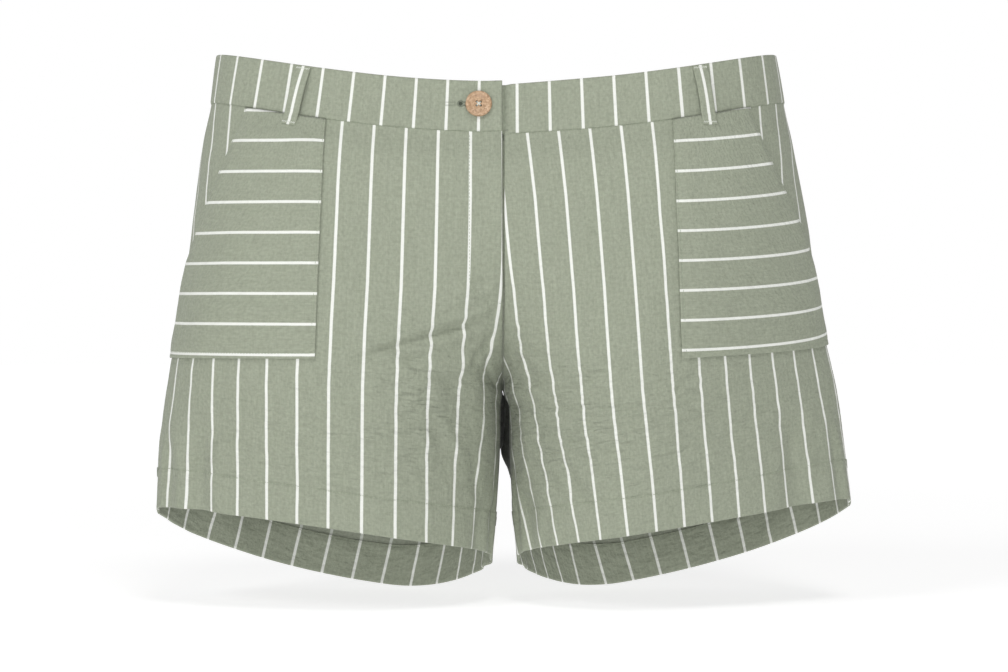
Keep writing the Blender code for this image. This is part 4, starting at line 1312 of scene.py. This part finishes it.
def button():
    """A turned disc with a raised rim and a dished middle, drilled with four holes."""
    sides, rings = 96, len(BUTTON_PROFILE)
    turns = [2 * pi * k / sides for k in range(sides)]
    data = bpy.data.meshes.new("button_disc")
    vertices = [circle(r, turn, z) for r, z in BUTTON_PROFILE for turn in turns]
    caps = [tuple(range(sides)), tuple(range((rings - 1) * sides, rings * sides))]
    data.from_pydata(vertices, [], ring_quads(rings, sides) + caps)
    faced_out(data)
    disc = linked("button_disc", data)
    drills = [drill(disc, circle(BUTTON_HOLE_RING, turn, 0.0017)) for turn in HOLE_TURNS]
    bpy.context.view_layer.update()
    scene = bpy.context.evaluated_depsgraph_get()
    disc.data = bpy.data.meshes.new_from_object(disc.evaluated_get(scene))
    disc.modifiers.clear()
    for cutter in drills:
        bpy.data.objects.remove(cutter)
    disc.data.materials.clear()
    disc.data.materials.append(corozo())
    bevel = disc.modifiers.new("soften", "BEVEL")
    bevel.width, bevel.segments, bevel.limit_method = 0.00012, 2, "ANGLE"
    bevel.angle_limit = radians(40)
    point, out = at_button_height(-BUTTON_X)
    turn = out.to_track_quat("Z", "Y").to_matrix().to_4x4()
    place = Matrix.Translation(point + out * (BAND_PROUD + BUTTON_SEAT)) @ turn
    disc.data.transform(place)
    smooth_shaded(disc.data)
    return dress(disc, "button"), place


def button_thread(place):
    """Threads that cross from hole to hole over the button's middle."""
    out = np.array(place.to_3x3() @ Vector((0, 0, 1)))
    runs = []
    for turn, shift in THREAD_PATHS:
        beside = circle(1, turn + pi / 2) * shift
        start, end = (
            place @ (circle(BUTTON_HOLE_RING, at, 0.00225) + beside) for at in (turn, turn + pi)
        )
        runs.append((np.array(start), np.array(end), out))
    thread_object("button_thread", runs, 0.00024, THREAD_PALE)


def buttonhole():
    """The eyelet end of a keyhole buttonhole, edged with thread, and its bar."""
    point, out = at_button_height(EYELET_X)
    right = (Vector((1, 0, 0)) - out * out.x).normalized()
    up = out.cross(right)
    if up.z < 0:
        up = -up
    base = point + out * (BAND_PROUD + 0.00062)
    runs = []
    for k in range(26):
        angle = radians(38 + k * (284 / 25))
        ray = right * cos(angle) + up * sin(angle)
        runs.append((base + ray * 0.00125, base + ray * 0.00255, out))
    for k in range(26):
        for sign in (1, -1):
            middle = base + right * (0.0020 + k * 0.00052) + up * 0.0011 * sign
            runs.append((middle - up * 0.0006, middle + up * 0.0006, out))
    for k in range(9):
        for sign in (1, -1):
            start = base - right * (0.0034 + k * 0.00085) + up * 0.0011 * sign
            runs.append((start, start - right * 0.0006, out))
    runs = [tuple(np.array(v) for v in run) for run in runs]
    thread_object("buttonhole_thread", runs, THREAD * 1.1, THREAD_DARK)
    eyelet(base, right, up, out)


def eyelet(base, right, up, out):
    """The hole inside the thread: a small hollow, coloured near black as painted shade."""
    sides, rings = 24, ((0.00150, 0.00006), (0.00110, -0.00002), (0.00070, -0.00010))
    turns = [2 * pi * k / sides for k in range(sides)]
    vertices = [
        base + right * radius * cos(turn) + up * radius * sin(turn) + out * rise
        for radius, rise in rings for turn in turns
    ]
    middle, last = len(vertices), (len(rings) - 1) * sides
    vertices.append(base - out * 0.00012)
    faces = ring_quads(len(rings), sides)
    faces += [(last + k, last + (k + 1) % sides, middle) for k in range(sides)]
    # Painted shade: the hole's near-black colour stands for the shadow inside it.
    finish = plain("eyelet_shade", (0.055, 0.065, 0.045, 1), 0.95, 0.2).material
    dress(new_object("eyelet", vertices, faces, np.zeros((len(vertices), 2)), (finish,)))


# --- making ---------------------------------------------------------------------------------------

for side, word in WORDS.items():
    panel(side, False)
    panel(side, True)
    pocket(side)
waistband_right()
waistband_left()
waistband_back()
fly_shield()
for name in LOOPS:
    belt_loop(name)
for side in WORDS:
    hem_stitches(side)
    pocket_stitches(side)
seam_allowances()
fly_stitches()
band_stitches()
loop_tacks()
button_thread(button()[1])
buttonhole()


# --- floor, light and camera ----------------------------------------------------------------------

WHITE, BLACK = (1, 1, 1, 1), (0, 0, 0, 1)


def floor_white():
    """A pale floor that glows, a little more far away, where the lamps no longer reach it."""
    finish = plain("floor_white", (0.48, 0.48, 0.48, 1), 0.9, 0.002, 2.0)
    place = finish.node("TexCoord", {}).outputs["Object"]
    reach = finish.node("VectorMath", {0: place}, operation="LENGTH").outputs["Value"]
    limits = {"From Min": 0.5, "From Max": 2.4, "To Min": 0.75, "To Max": 0.90}
    glow = finish.node("MapRange", {"Value": reach, **limits}).outputs[0]
    finish.set({"Specular IOR Level": 0.0, "Emission Color": WHITE, "Emission Strength": glow})
    return finish.material


def backdrop_white():
    """The walls' white, which only glows."""
    look = {"Base Color": BLACK, "Roughness": 1.0, "Specular IOR Level": 0.0}
    glow = {"Emission Color": WHITE, "Emission Strength": 1.0}
    return Finish("backdrop_white", {**look, **glow}).material


def soft_light(name, place, target, size, power):
    data = bpy.data.lights.new(name, "AREA")
    data.shape, data.size, data.energy = "DISK", size, power
    lamp = linked(name, data)
    lamp.location = place
    lamp.rotation_mode = "QUATERNION"
    lamp.rotation_quaternion = (Vector(target) - Vector(place)).to_track_quat("-Z", "Y")


floor_mesh = bpy.data.meshes.new("floor")
plan_corners = ((-FLOOR_REACH, -FLOOR_REACH), (FLOOR_REACH, -FLOOR_REACH))
plan_corners += tuple((-x, -y) for x, y in plan_corners)
corners = [(x, y, z) for z in (FLOOR, WALLS_TOP) for x, y in plan_corners]
walls = [(k, k + 4, (k + 1) % 4 + 4, (k + 1) % 4) for k in range(4)]
floor_mesh.from_pydata(corners, [], [(0, 1, 2, 3)] + walls)
floor_mesh.materials.append(floor_white())
floor_mesh.materials.append(backdrop_white())
for wall in floor_mesh.polygons[1:]:
    wall.material_index = 1
linked("floor", floor_mesh)

world = bpy.data.worlds.new("studio")
bpy.context.scene.world = world
world.use_nodes = True
world.node_tree.nodes["Background"].inputs["Color"].default_value = WHITE
world.node_tree.nodes["Background"].inputs["Strength"].default_value = 0.20

soft_light("key", (-1.6, -1.7, 1.5), (0, 0, -0.2), 1.0, 19)
soft_light("top", (0.3, -1.3, 1.9), (0, 0, -0.2), 0.8, 16)
soft_light("low", (-0.2, -2.3, -0.30), (0, 0, -0.33), 0.9, 22)

camera_data = bpy.data.cameras.new("camera")
camera_data.sensor_width = 36
camera_data.lens = 83.33
camera = linked("camera", camera_data)
camera.location = (0.0011, -1.75, -0.186)
camera.rotation_euler = (radians(90), 0, 0)
bpy.context.scene.camera = camera
bpy.context.scene.view_settings.view_transform = "Standard"
